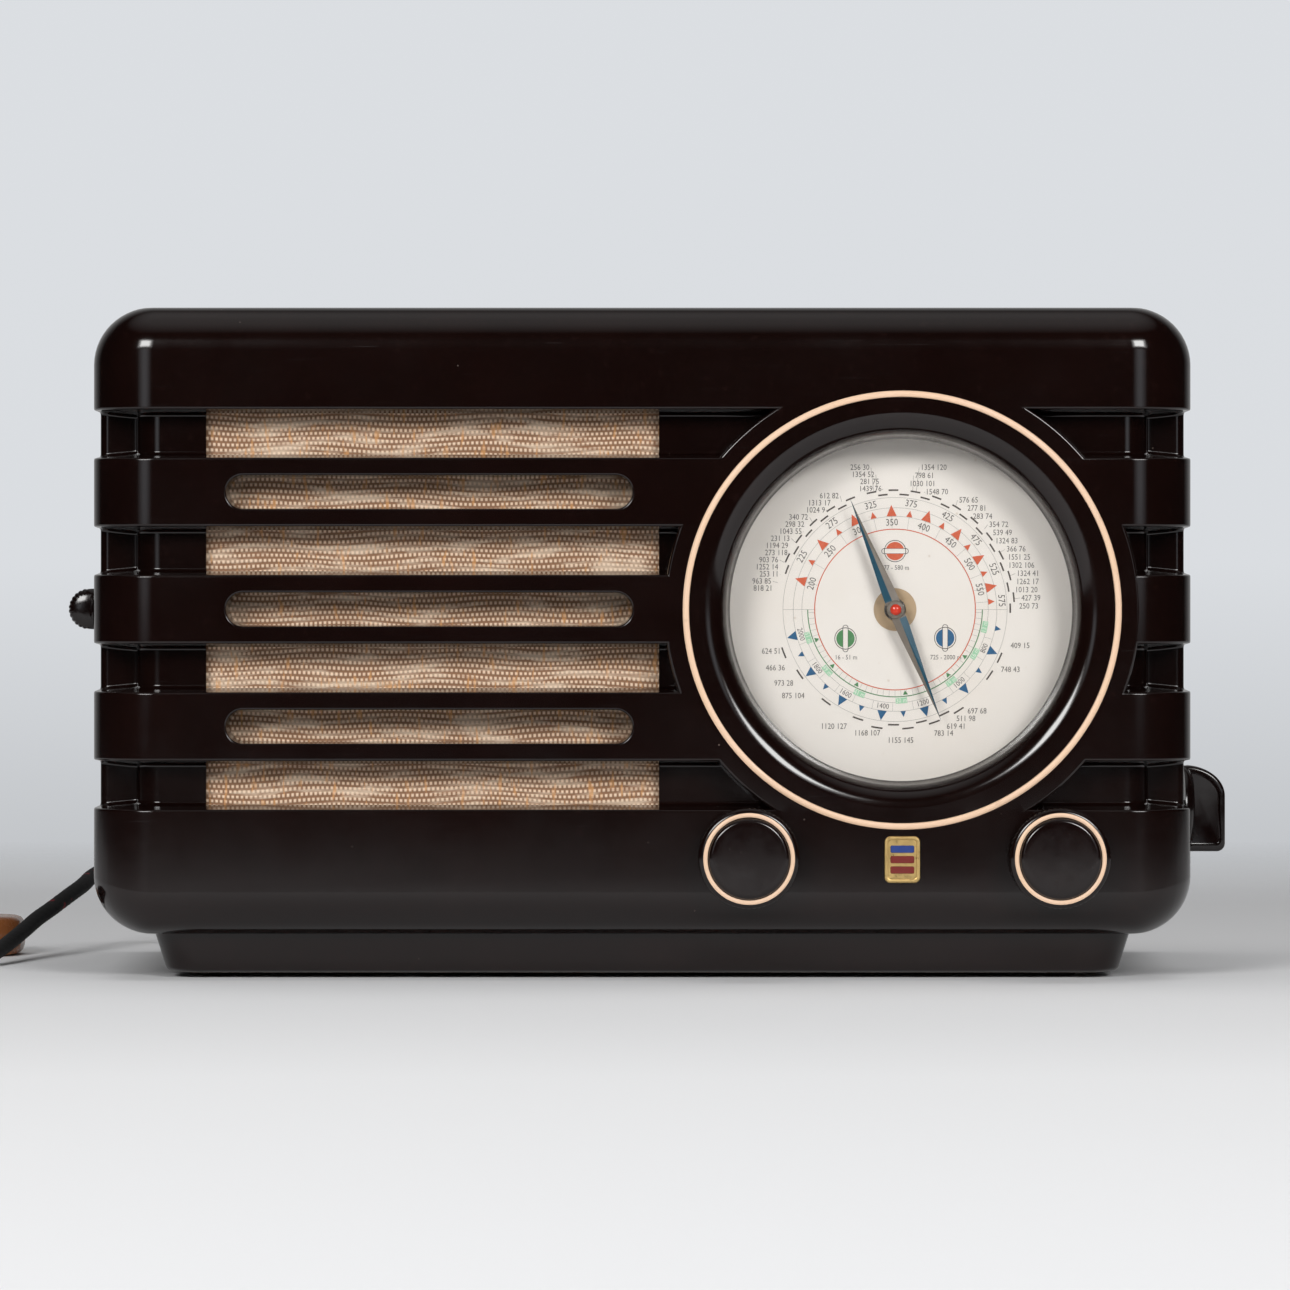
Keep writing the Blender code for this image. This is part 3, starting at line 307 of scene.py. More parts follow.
def speaker_fabric():
    """Tan weave: rows of pale beads with brown gaps, wandering cream floats and short golden slubs."""
    made = Finish("speaker_fabric", (0.27, 0.14, 0.075), 0.85)
    made.shader.inputs["Sheen Weight"].default_value = 0.15
    x, _, z = made.axes(made.place)

    def sine(value):
        return made.maths("SINE", value, 0.0)

    def times(value, factor):
        return made.maths("MULTIPLY", value, factor)

    curl = made.maths("ADD", times(x, 110.0), times(sine(times(z, 85.0)), 2.2))
    drift = made.maths("ADD", times(x, 47.0), times(z, 130.0))
    wander = made.maths("ADD", times(sine(curl), WANDER[0]), times(sine(drift), WANDER[1]))
    v = times(made.maths("ADD", z, wander), 1 / ROW)
    row = made.maths("FLOOR", v, 0.0)
    shift = times(made.maths("PINGPONG", row, 1.0), 0.5)
    u = made.maths("ADD", times(x, 1 / BEAD), shift)
    across = made.levels(made.maths("COSINE", times(u, tau), 0.0), -0.75, 0.5)
    down = made.levels(made.maths("COSINE", times(v, tau), 0.0), 0.7, -0.45)
    bead = made.maths("MULTIPLY", across, down)
    made.paint(bead, (0.88, 0.66, 0.48))
    streak = made.node("CombineXYZ")
    made.join(times(x, 42.0), streak.inputs["X"])
    made.join(times(v, 0.55), streak.inputs["Z"])
    made.cloud((1.0, 3, 0.65, streak.outputs[0]), 0.48, 0.64, 0.6, (0.88, 0.70, 0.53))
    made.cloud((1.6, 2, 0.6, streak.outputs[0], 0.5), 0.58, 0.72, 0.5, (0.30, 0.14, 0.07))
    slub = made.stretched(520, 1, 110)
    made.cloud((1.0, 2, 0.5, slub), 0.58, 0.68, 0.6, (0.72, 0.35, 0.12))
    made.bump(bead, 0.0002, 0.5)
    made.bump(made.noise(1800, 3, 0.7), 0.0001, 0.4)
    return made.material


def braid():
    """Black cotton braid with a few red threads."""
    made = Finish("braid", (0.0035, 0.003, 0.0035), 0.85)
    made.cloud((1400, 3, 0.7), 0.55, 0.8, 0.5, (0.016, 0.014, 0.016))
    made.specks(95, 0.16, 0.12, 0.9, (0.22, 0.012, 0.02))
    made.bump(made.noise(2200, 3), 0.0001, 0.7)
    return made.material


def clear_glass(name, most=1.0, tint=(1.0, 1.0, 1.0), least=0.0):
    """Thin glass: it lets the view through, and mirrors more the flatter it is looked along."""
    made = Finish(name, tint, 0.03, Metallic=1.0)
    edge = made.node("LayerWeight")
    edge.inputs["Blend"].default_value = 0.5
    sharp = made.maths("POWER", edge.outputs["Facing"], 4.5)
    made.join(made.levels(sharp, 0.0, 1.0, 0.03 + least, most), made.shader.inputs["Alpha"])
    made.polish((60, 4), 0.3, 0.75, 0.015, 0.05)
    made.bump(made.noise(25, 2), 0.00001, 0.2)
    return made.material


def lacquer(name, colour, roughness=0.45, fleck=(0.2, 0.16, 0.12)):
    """A paint, enamel or plain moulding with soft flecks of a second colour."""
    made = Finish(name, colour, roughness)
    made.cloud((150, 4, 0.6), 0.5, 0.8, 0.4, fleck)
    made.polish((260, 3), 0.3, 0.7, roughness * 0.8, roughness * 1.4)
    made.bump(made.noise(600, 3), 0.00004, 0.6)
    return made.material


# mesh making


def show(name, data):
    """Makes an object of a mesh, lamp, camera or text, and puts it in the scene."""
    obj = bpy.data.objects.new(name, data)
    bpy.context.scene.collection.objects.link(obj)
    return obj


def smooth(obj, angle=32):
    """Shades a piece smooth, with its edges kept sharp."""
    obj.data.shade_smooth()
    obj.data.set_sharp_from_angle(angle=radians(angle))
    return obj


def add(name, bm, material, turn=UP, place=(0, 0, 0), flip=True):
    """Links a bmesh as a piece, in world places."""
    bmesh.ops.transform(bm, matrix=Matrix.Translation(place) @ turn, verts=bm.verts)
    if flip:
        bmesh.ops.recalc_face_normals(bm, faces=bm.faces)
    mesh = bpy.data.meshes.new(name)
    bm.to_mesh(mesh)
    bm.free()
    obj = show(name, mesh)
    if material:
        mesh.materials.append(material)
    return obj


def skin(bm, rings, closed=True, caps=True):
    """Joins rings of points with quads and closes the two ends."""
    rows = [[bm.verts.new(point) for point in ring] for ring in rings]
    count = len(rows[0])
    for one, two in zip(rows, rows[1:]):
        for i in range(count if closed else count - 1):
            j = (i + 1) % count
            bm.faces.new((one[i], one[j], two[j], two[i]))
    if caps:
        bm.faces.new(rows[0])
        bm.faces.new(rows[-1])
    return rows


def loft(name, rings, material=None, turn=UP, place=(0, 0, 0)):
    """A solid through rings of points."""
    bm = bmesh.new()
    skin(bm, rings)
    bmesh.ops.remove_doubles(bm, verts=bm.verts, dist=1e-6)
    return smooth(add(name, bm, material, turn, place))


def spun(name, profile, place, turn, material=None, steps=96, ring=False, wave=None):
    """Turns (radius, height) points in mm round the part's own Z. wave(r, h, angle) shapes it."""
    bm = bmesh.new()
    rings = []
    for k in range(steps):
        angle = tau * k / steps
        line = []
        for r, h in profile:
            radius = wave(r, h, angle) if wave else r
            line.append((radius * MM * cos(angle), radius * MM * sin(angle), h * MM))
        rings.append(line)
    rows = skin(bm, rings, closed=ring, caps=False)
    for i in range(len(profile) if ring else len(profile) - 1):
        j = (i + 1) % len(profile)
        bm.faces.new((rows[-1][i], rows[-1][j], rows[0][j], rows[0][i]))
    bmesh.ops.remove_doubles(bm, verts=bm.verts, dist=1e-7)
    bmesh.ops.dissolve_degenerate(bm, edges=bm.edges, dist=1e-8)
    return smooth(add(name, bm, material, turn, place))


def arc(cx, cy, radius, start, end, count):
    """Points along an arc, its ends in degrees."""
    points = []
    for i in range(count + 1):
        angle = radians(start + (end - start) * i / count)
        points.append((cx + radius * cos(angle), cy + radius * sin(angle)))
    return points


def rounded(half_w, half_h, radius, count=10):
    """The outline of a rectangle with rounded corners."""
    x = half_w - radius
    y = half_h - radius
    outline = []
    for cx, cy, start in ((x, y, 0), (-x, y, 90), (-x, -y, 180), (x, -y, 270)):
        outline += arc(cx, cy, radius, start, start + 90, count)
    return outline


def block(name, low, high):
    """A box between two corners."""
    bm = bmesh.new()
    bmesh.ops.create_cube(bm, size=1)
    bmesh.ops.scale(bm, vec=high - low, verts=bm.verts)
    return add(name, bm, None, UP, (low + high) / 2)


def carve(obj, cutters, operation="DIFFERENCE"):
    """Applies a Boolean for each cutter, and removes the cutters."""
    for cutter in cutters:
        step = obj.modifiers.new("carve", "BOOLEAN")
        step.object = cutter
        step.operation = operation
        step.solver = "EXACT"
    shape = obj.evaluated_get(bpy.context.evaluated_depsgraph_get())
    mesh = bpy.data.meshes.new_from_object(shape)
    obj.modifiers.clear()
    obj.data = mesh
    for cutter in cutters:
        bpy.data.objects.remove(cutter, do_unlink=True)
    return obj


def belong(pieces, body):
    """The pieces ride on one body."""
    for piece in pieces:
        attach(piece, body)


def stand_in(piece, body, node):
    """The piece rides on a body and is shown in place of a CAD node."""
    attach(piece, body)
    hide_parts(node)


# camera, lights and the table


VIEW_DISTANCE = 2.5
VIEW_HEIGHT = 150 * MM
VIEW_CENTRE = 119.4 * MM
VIEW_WIDTH = 0.4583
SENSOR = 36
LAMP_DISTANCE = 2.4
LAMP_HEIGHT = 1.06
LAMP_ANGLE = radians(25)
LAMP_WHITE = (1.0, 0.995, 0.985)
SKIRT_WHITE = (0.9, 0.94, 1.0)


def make_camera():
    """A level view with a long lens, from just above the radio's middle."""
    data = bpy.data.cameras.new("camera")
    camera = show("camera", data)
    data.sensor_width = SENSOR
    data.lens = SENSOR * VIEW_DISTANCE / VIEW_WIDTH
    camera.location = at(MM, -VIEW_DISTANCE, VIEW_HEIGHT)
    camera.rotation_euler = (pi / 2, 0, 0)
    data.shift_y = (VIEW_CENTRE - VIEW_HEIGHT) / VIEW_WIDTH
    bpy.context.scene.camera = camera


def area_light(name, place, target, size, power, colour=(1, 1, 1)):
    """A rectangular light that faces a target."""
    data = bpy.data.lights.new(name, "AREA")
    data.shape = "RECTANGLE"
    data.size, data.size_y = size
    data.energy = power
    data.color = colour
    light = show(name, data)
    light.location = place
    light.rotation_euler = (Vector(target) - Vector(place)).to_track_quat("-Z", "Y").to_euler()
    return light


def make_stage():
    """A pale matt floor that fades into the backdrop behind the radio, painted darker towards its front
    edge as painted shade against the lamps' pool of light.
    """
    paper = Finish("stage_paper", (0.86, 0.865, 0.88), 0.95)
    paper.cloud((3, 3), 0.3, 0.8, 0.2, (0.83, 0.835, 0.85))
    _, depth, _ = paper.axes(paper.place)
    # painted shade: the paper turns darker towards its front edge, nearest the lamps, to tone down their
    # pool of light
    paper.paint(paper.levels(depth, -0.55, -1.16), (0.66, 0.665, 0.68))
    fade = paper.levels(depth, 0.45, 1.15, 1.0, 0.0)
    paper.join(fade, paper.shader.inputs["Alpha"])
    bm = bmesh.new()
    corners = [(-0.6, -1.16), (0.6, -1.16), (1.8, 1.2), (-1.8, 1.2)]
    bm.faces.new([bm.verts.new((x, y, 0)) for x, y in corners])
    add("stage_floor", bm, paper.material, flip=False)


# what a camera ray meets: (share of the way up, level); the dip to 0.53 low down is painted shade of the
# far table behind the radio
BACKDROP = ((0.0, 0.62), (0.22, 0.54), (0.32, 0.53), (0.48, 0.64), (0.62, 0.73), (1.0, 0.74))


def make_world():
    """Camera rays meet a pale backdrop, with painted shade low down; other rays meet a dark studio, pale
    behind and overhead.
    """
    world = bpy.data.worlds.new("studio")
    world.use_nodes = True
    graph = Graph(world.node_tree)
    _, y, z = graph.axes(graph.node("TexCoord").outputs["Generated"])
    # painted shade: the ramp darkens the backdrop just below the level, where the far table lies in shade
    backdrop = graph.node("ValToRGB")
    graph.join(graph.levels(z, -0.10, 0.06), backdrop.inputs[0])
    stops = backdrop.color_ramp.elements
    for position, _ in BACKDROP[2:]:
        stops.new(position)
    for stop, (position, level) in zip(stops, BACKDROP):
        stop.position = position
        stop.color = (level * 0.96, level * 0.99, level * 1.03, 1)
    behind = graph.levels(y, 0.55, 0.95, 0.012, 0.45)
    overhead = graph.levels(z, 0.72, 0.97, 0, 0.5)
    studio = graph.maths("MAXIMUM", behind, overhead)
    seen = graph.node("LightPath").outputs["Is Camera Ray"]
    both = graph.mix(seen, studio, backdrop.outputs[0])
    graph.join(both, graph.tree.nodes["Background"].inputs["Color"])
    bpy.context.scene.world = world


def make_lights():
    """Two soft boxes in front with dim skirts below them, and an overhead light for the floor."""
    middle = at(0, 0, 0.12)
    for side in (-1, 1):
        x = side * LAMP_DISTANCE * sin(LAMP_ANGLE)
        y = FRONT_Y - LAMP_DISTANCE * cos(LAMP_ANGLE)
        area_light(f"soft_box_{side + 2}", (x, y, LAMP_HEIGHT), middle, (1.15, 0.85), 11, LAMP_WHITE)
        core = (x * 1.01, y * 1.01, LAMP_HEIGHT)
        area_light(f"core_{side + 2}", core, middle, (0.8, 0.62), 24, LAMP_WHITE)
        for n, width in enumerate((0.9, 0.62, 0.34)):
            skirt = (x, y - 0.02 * n, 0.30)
            area_light(f"skirt_{side + 2}_{n}", skirt, middle, (width, 0.36), 0.42 * width, SKIRT_WHITE)
    overhead = area_light("overhead", (0, 0.15, 2.0), (0, 0.1, 0), (2.0, 1.2), 9)
    overhead.visible_glossy = False
    make_world()
    bpy.context.scene.view_settings.view_transform = "Standard"


# the mains cord

# places in mm, as at() takes them; the rest of its way is the coil
CORD_R = 3.0 * MM
CORD_EXIT = (-150, 214, 40)
CORD_ROUTE = (
    (-150, 226, 39.8), (-154, 240, 38.6), (-165, 252, 36.5), (-181, 257, 34), (-198, 252, 31.4),
    (-209, 239, 29), (-213, 222, 27), (-215, 203, 24.6), (-219, 184, 21.4), (-224, 165, 17.4),
    (-228, 150, 14.4), (-231, 135, 11.4), (-234, 119, 8.6), (-237, 104, 6), (-240.5, 90, 4),
    (-246.5, 79.5, 3.1),
)
COIL_X = -288
COIL_DEPTH = 105
COIL_START = -48
COIL_SWEEP = 2038


def coil_points():
    """Turns side by side inwards on the table, then out on top of them, and off to the plug."""
    points = []
    count = COIL_SWEEP // 13
    for k in range(1, count + 1):
        turn = COIL_SWEEP * k / count / 360
        angle = radians(COIL_START) - tau * turn
        climb = min(1.0, max(0.0, turn - 3.3))
        rise = sqrt(climb * (2 - climb))
        radius = 42 - 6 * min(3.0, max(0.0, turn - 0.3)) + 6 * max(0.0, turn - 3.6)
        x = COIL_X + radius * cos(angle)
        depth = COIL_DEPTH + radius * sin(angle)
        points.append((x, depth, 3.1 + 6.2 * rise))
    for degrees, height in ((-92, 9.3), (-78, 9.1), (-64, 8.6), (-50, 8.0)):
        angle = radians(degrees)
        points.append((-270.6 + 24 * cos(angle), 162.7 + 24 * sin(angle), height))
    return points + [(-251.4, 149.2, 7.6), (-250.9, 154.5, 7.5)]


def cord_path():
    """The lead's middle line: a smooth curve through its points, stepped evenly."""
    raw = [CORD_EXIT, *CORD_ROUTE, *coil_points()]
    places = [at(x * MM, depth * MM, z * MM) for x, depth, z in raw]
    ends = [places[0] * 2 - places[1], *places, places[-1] * 2 - places[-2]]
    fine = []
    for a, b, c, d in zip(ends, ends[1:], ends[2:], ends[3:]):
        for step in range(12):
            t = step / 12
            bend = a * 2 - b * 5 + c * 4 - d
            twist = b * 3 - a - c * 3 + d
            fine.append((b * 2 + (c - a) * t + bend * t**2 + twist * t**3) / 2)
    fine.append(places[-1])
    even = [fine[0]]
    walked = 0.0
    spacing = 0.9 * MM
    for one, two in zip(fine, fine[1:]):
        walked += (two - one).length
        if walked >= spacing:
            even.append(two)
            walked = 0.0
    return even


def make_cord():
    """The whole lead as one braided tube, its threads raised in a crossing pattern."""
    path = cord_path()
    length = sum((b - a).length for a, b in zip(path, path[1:]))
    sides = 16
    side = Vector((0, 0, 1))
    rings = []
    walked = 0.0
    for i, place in enumerate(path):
        ahead = path[min(i + 1, len(path) - 1)] - path[max(i - 1, 0)]
        ahead.normalize()
        side = (side - ahead * side.dot(ahead)).normalized()
        other = ahead.cross(side)
        ring = []
        for k in range(sides):
            angle = tau * k / sides
            one = cos(4 * angle + tau * walked / (5.4 * MM))
            two = cos(4 * angle - tau * walked / (5.4 * MM))
            radius = CORD_R - 0.14 * MM + 0.14 * MM * max(one, two)
            ring.append(place + (side * cos(angle) + other * sin(angle)) * radius)
        rings.append(ring)
        if i + 1 < len(path):
            walked += (path[i + 1] - place).length
    bm = bmesh.new()
    skin(bm, rings)
    cord = add("mains_lead", bm, BRAID)
    cord.data.shade_smooth()
    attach(cord, "radio")
    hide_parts("mains_cord", "cord_coil")
    return cord, length, path


def make_cord_tie():
    """A flat black tie round the coil's section."""
    angle = radians(150)
    x = (COIL_X + 33 * cos(angle)) * MM
    centre = at(x, (COIL_DEPTH + 33 * sin(angle)) * MM, 5.9 * MM)
    outward = Vector((cos(angle), sin(angle), 0))
    along = Vector((-sin(angle), cos(angle), 0))
    rings = []
    loop = rounded(12.6 * MM, 6.2 * MM, 4 * MM, 6)
    for x, z in loop:
        middle = centre + outward * x + Vector((0, 0, z * 0.93))
        normal = (outward * x + Vector((0, 0, z))).normalized()
        ring = []
        for k in range(8):
            turn = tau * k / 8
            across = along * (1.6 * MM * cos(turn))
            ring.append(middle + across + normal * (0.35 * MM * sin(turn)))
        rings.append(ring)
    rings.append(rings[0])
    bm = bmesh.new()
    skin(bm, rings, caps=False)
    bmesh.ops.remove_doubles(bm, verts=bm.verts, dist=1e-7)
    tie = smooth(add("cord_tie", bm, RUBBER), 60)
    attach(tie, "radio")
    return tie


def make_strain_relief():
    """A tapered rubber sleeve with ribs, whose flange sits against the rear cover."""
    profile = [(3.4, 0), (3.4, 30.4), (3.7, 30.7), (4.3, 30.5)]
    for k in range(6):
        h = 28.4 - 3.2 * k
        r = 4.45 + 0.19 * k
        rib = ((0, 0.9), (0.15, 0), (-0.5, -0.4), (-0.5, -1.4), (0.1, -1.9))
        profile += [(r + out, h + up) for out, up in rib]
    profile += [(5.7, 8.2), (6.3, 7.4), (8.0, 7.2), (8.4, 6.8)]
    profile += [(8.4, 4.9), (8.2, 4.6), (5.6, 4.4), (5.6, 0)]
    place = at(-150 * MM, 183.4 * MM, 40 * MM)
    sleeve = spun("strain_relief", profile, place, BACKWARD, RUBBER, 48, ring=True)
    stand_in(sleeve, "radio", "cord_strain_relief")
    return sleeve


def make_plug():
    """A flat round-ended plug with a waist, a parting line, a screw and two split pins."""
    low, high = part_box("mains_plug")
    centre = Vector(((low.x + high.x) / 2, at(0, 168 * MM, 0).y, low.z))
    rings = []
    thick = high.z - low.z
    for k in range(25):
        t = k / 24
        edge = sqrt(max(0.0, 1 - abs(2 * t - 1) ** 3.4))
        inset = (1 - edge) * 3.4 * MM
        if abs(t - 0.5) < 0.02:
            inset += 0.35 * MM
        outline = rounded(16.5 * MM - inset, 18 * MM - inset, 12 * MM - inset, 10)
        rings.append([(x * (1 - 0.16 * max(0.0, -y / (18 * MM)) ** 2), y, t * thick) for x, y in outline])
    body = loft("plug_body", rings, MOTTLED, UP, centre)
    well = [(0, 16), (3.6, 16), (3.6, 12.6), (0, 12.6)]
    carve(body, [spun("screw_well", well, centre + Vector((0, 2 * MM, 0)), UP, None, 32)])
    smooth(body)
    pieces = [body]
    for side in (-1, 1):
        start = centre + Vector((side * 9.5 * MM, 12 * MM, 7.2 * MM))
        pin = [(0, 25), (1.5, 24.9), (2.1, 24.2), (2.4, 23), (2.4, 0), (0, 0)]
        piece = spun(f"plug_pin_{side + 2}", pin, start, BACKWARD, BRASS, 32)
        slot = start + Vector((0, 12 * MM, 0))
        split = block("pin_split", slot - Vector((3, 0, 0.35)) * MM, slot + Vector((3, 14, 0.35)) * MM)
        pieces.append(smooth(carve(piece, [split])))
    head = [(0, 1.0), (2.0, 0.9), (2.9, 0.4), (3.0, 0), (0, 0)]
    place = centre + Vector((0, 2 * MM, 12.65 * MM))
    screw = spun("plug_screw", head, place, UP, BRASS, 32)
    low_slot = place + Vector((-4, -0.35, 0.5)) * MM
    pieces.append(smooth(carve(screw, [block("slot", low_slot, low_slot + Vector((8, 0.7, 2)) * MM)])))
    belong(pieces, "radio")
    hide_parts("mains_plug")
    return pieces


# the case


def inner_corner():
    """The recess outline round the right front corner, from front to side."""
    front = arc(COLUMN_HALF_W - COLUMN_ROUND, RECESS + COLUMN_ROUND, COLUMN_ROUND, -90, 0, 12)
    inside = arc(COLUMN_HALF_W + 0.8 * MM, STEP_BACK - 0.8 * MM, 0.8 * MM, 180, 90, 3)
    side = arc(SIDE_HALF_W - SIDE_ROUND, STEP_BACK + SIDE_ROUND, SIDE_ROUND, -90, 0, 8)
    outline = front[:1]
    corners = front + inside + side
    for one, two in zip(corners, corners[1:]):
        parts = max(1, round(dist(one, two) / (1.3 * MM)))
        for k in range(1, parts + 1):
            outline.append(tuple(a + (b - a) * k / parts for a, b in zip(one, two)))
    return outline


def stations():
    """Round the plan, from rear to rear: outer point, its normal, inner point and edge radius."""
    inner = inner_corner()
    lengths = [0.0]
    for one, two in zip(inner, inner[1:]):
        lengths.append(lengths[-1] + dist(one, two))
    right = []
    for (ix, idepth), length in zip(inner, lengths):
        share = length / lengths[-1]
        angle = radians(-90 + 90 * share)
        nx, nd = cos(angle), sin(angle)
        ox = HALF_W - PLAN_ROUND + PLAN_ROUND * nx
        od = PLAN_ROUND + PLAN_ROUND * nd
        blend = share * share * (3 - 2 * share)
        edge = EDGE_FRONT + (EDGE_SIDE - EDGE_FRONT) * blend
        right.append((ox, od, nx, nd, ix, idepth, edge))
    right.append((HALF_W, DEPTH, 1, 0, SIDE_HALF_W, DEPTH, EDGE_SIDE))
    left = [(-x, d, -nx, nd, -ix, idepth, edge) for x, d, nx, nd, ix, idepth, edge in reversed(right)]
    return left + right


def column(station):
    """Points down the outside of the case at one station of its plan."""
    x, d, nx, nd, ix, idepth, edge = station
    span = dist((x, d), (ix, idepth))
    ux, ud = (ix - x) / span, (idepth - d) / span
    bar_edge = min(BAR_EDGE, 0.4 * span)
    floor_edge = min(FLOOR_EDGE, 0.4 * span)
    draft = GROOVE_DRAFT * span
    quarter = [radians(18 * k) for k in range(6)]
    points = []

    def lean(z):
        """The lowest band stands forward towards its foot, as its mould's draft makes it."""
        top = GROOVES[0] - GROOVE_HALF
        return -0.0095 * max(0.0, top - max(z, BOTTOM + edge)) * nd

    def cap(angle, centre_z):
        inset = edge * (1 - cos(angle))
        z = centre_z + edge * sin(angle)
        points.append(at(x - nx * inset, d - nd * inset - lean(z), z))

    def wall(inward, z):
        points.append(at(x + ux * inward, d + ud * inward - lean(z) * (1 - inward / span), z))

    def lip(t, way, mouth):
        """The rounded edge where a bar turns into a groove, above it or below it."""
        wall(bar_edge * (1 - cos(t)), mouth + way * bar_edge * (1 - sin(t)))

    def foot(t, way, mouth):
        """The small round where a groove's wall meets its floor."""
        rise = draft + floor_edge * (1 - cos(t))
        wall(span - floor_edge * (1 - sin(t)), mouth - way * rise)

    for k in range(15):
        cap(radians(90 - 90 * k / 14), TOP - edge)
    for z in reversed(GROOVES):
        for t in quarter:
            lip(t, 1, z + GROOVE_HALF)
        for t in quarter:
            foot(t, 1, z + GROOVE_HALF)
        for t in reversed(quarter):
            foot(t, -1, z - GROOVE_HALF)
        for t in reversed(quarter):
            lip(t, -1, z - GROOVE_HALF)
    for k in range(15):
        cap(radians(-90 * k / 14), BOTTOM + edge)
    return points


def case_shell():
    """The moulding's outside, with its bars and grooves, closed at the back."""
    bm = bmesh.new()
    rows = skin(bm, [column(station) for station in stations()], closed=False, caps=False)
    bm.faces.new([row[0] for row in rows])
    bm.faces.new([row[-1] for row in reversed(rows)])
    bm.faces.new([*rows[0], *reversed(rows[-1])])
    bmesh.ops.remove_doubles(bm, verts=bm.verts, dist=1e-6)
    bmesh.ops.dissolve_degenerate(bm, edges=bm.edges, dist=1e-7)
    return add("case", bm, BAKELITE)


def plinth():
    """The tapered foot of the case, with rounded lower edges."""
    rings = []
    high = BOTTOM + 2 * MM
    low = 2 * MM
    steps = [(0, 0), (0.9, 0)] + [(0.9 + 0.1 * k / 5, 1.6 * MM * (k / 5) ** 2) for k in range(1, 6)]
    for share, inset in steps:
        taper = 1 - 0.028 * share
        half_w = 175.6 * MM * taper - inset
        half_d = 85.0 * MM * taper - inset
        z = high + (low - high) * share
        rings.append([(x, y, z) for x, y in rounded(half_w, half_d, 12 * MM - inset, 8)])
    return loft("plinth", rings, None, UP, at(0, DEPTH / 2 + 5 * MM, 0))


def slot_cutter(z):
    """A stadium opening whose mouth is rolled over."""
    rings = []
    rows = [(-2.0, 0.7)]
    for degrees in range(90, -1, -15):
        t = radians(degrees)
        rows.append((0.7 - 0.7 * sin(t), 0.7 - 0.7 * cos(t)))
    for depth, flare in rows + [(24.0, -0.5)]:
        outline = rounded(72.2 * MM + flare * MM, 6.0 * MM + flare * MM, 5.98 * MM + flare * MM, 12)
        rings.append([(x, -y, depth * MM) for x, y in outline])
    return loft("slot", rings, None, BACKWARD, at(-75.7 * MM, 0, z))


# the dial's opening, from its rolled mouth to the seat behind it
FUNNEL = [(0, 4), (70.9, 4)]
for step in range(17):
    turned = radians(5 * step)
    FUNNEL.append((70.9 - 8.7 * sin(turned), 0.03 - 8.7 * (1 - cos(turned))))
FUNNEL += [(61.75, -10.2), (61.25, -11.2), (61.1, -11.7), (61.1, -12.5), (66.3, -12.6)]
FUNNEL += [(66.3, -21), (0, -21)]


def peg(radius, low, high):
    """Outline of a plain round cutter or post."""
    return [(0, high), (radius, high), (radius, low), (0, low)]


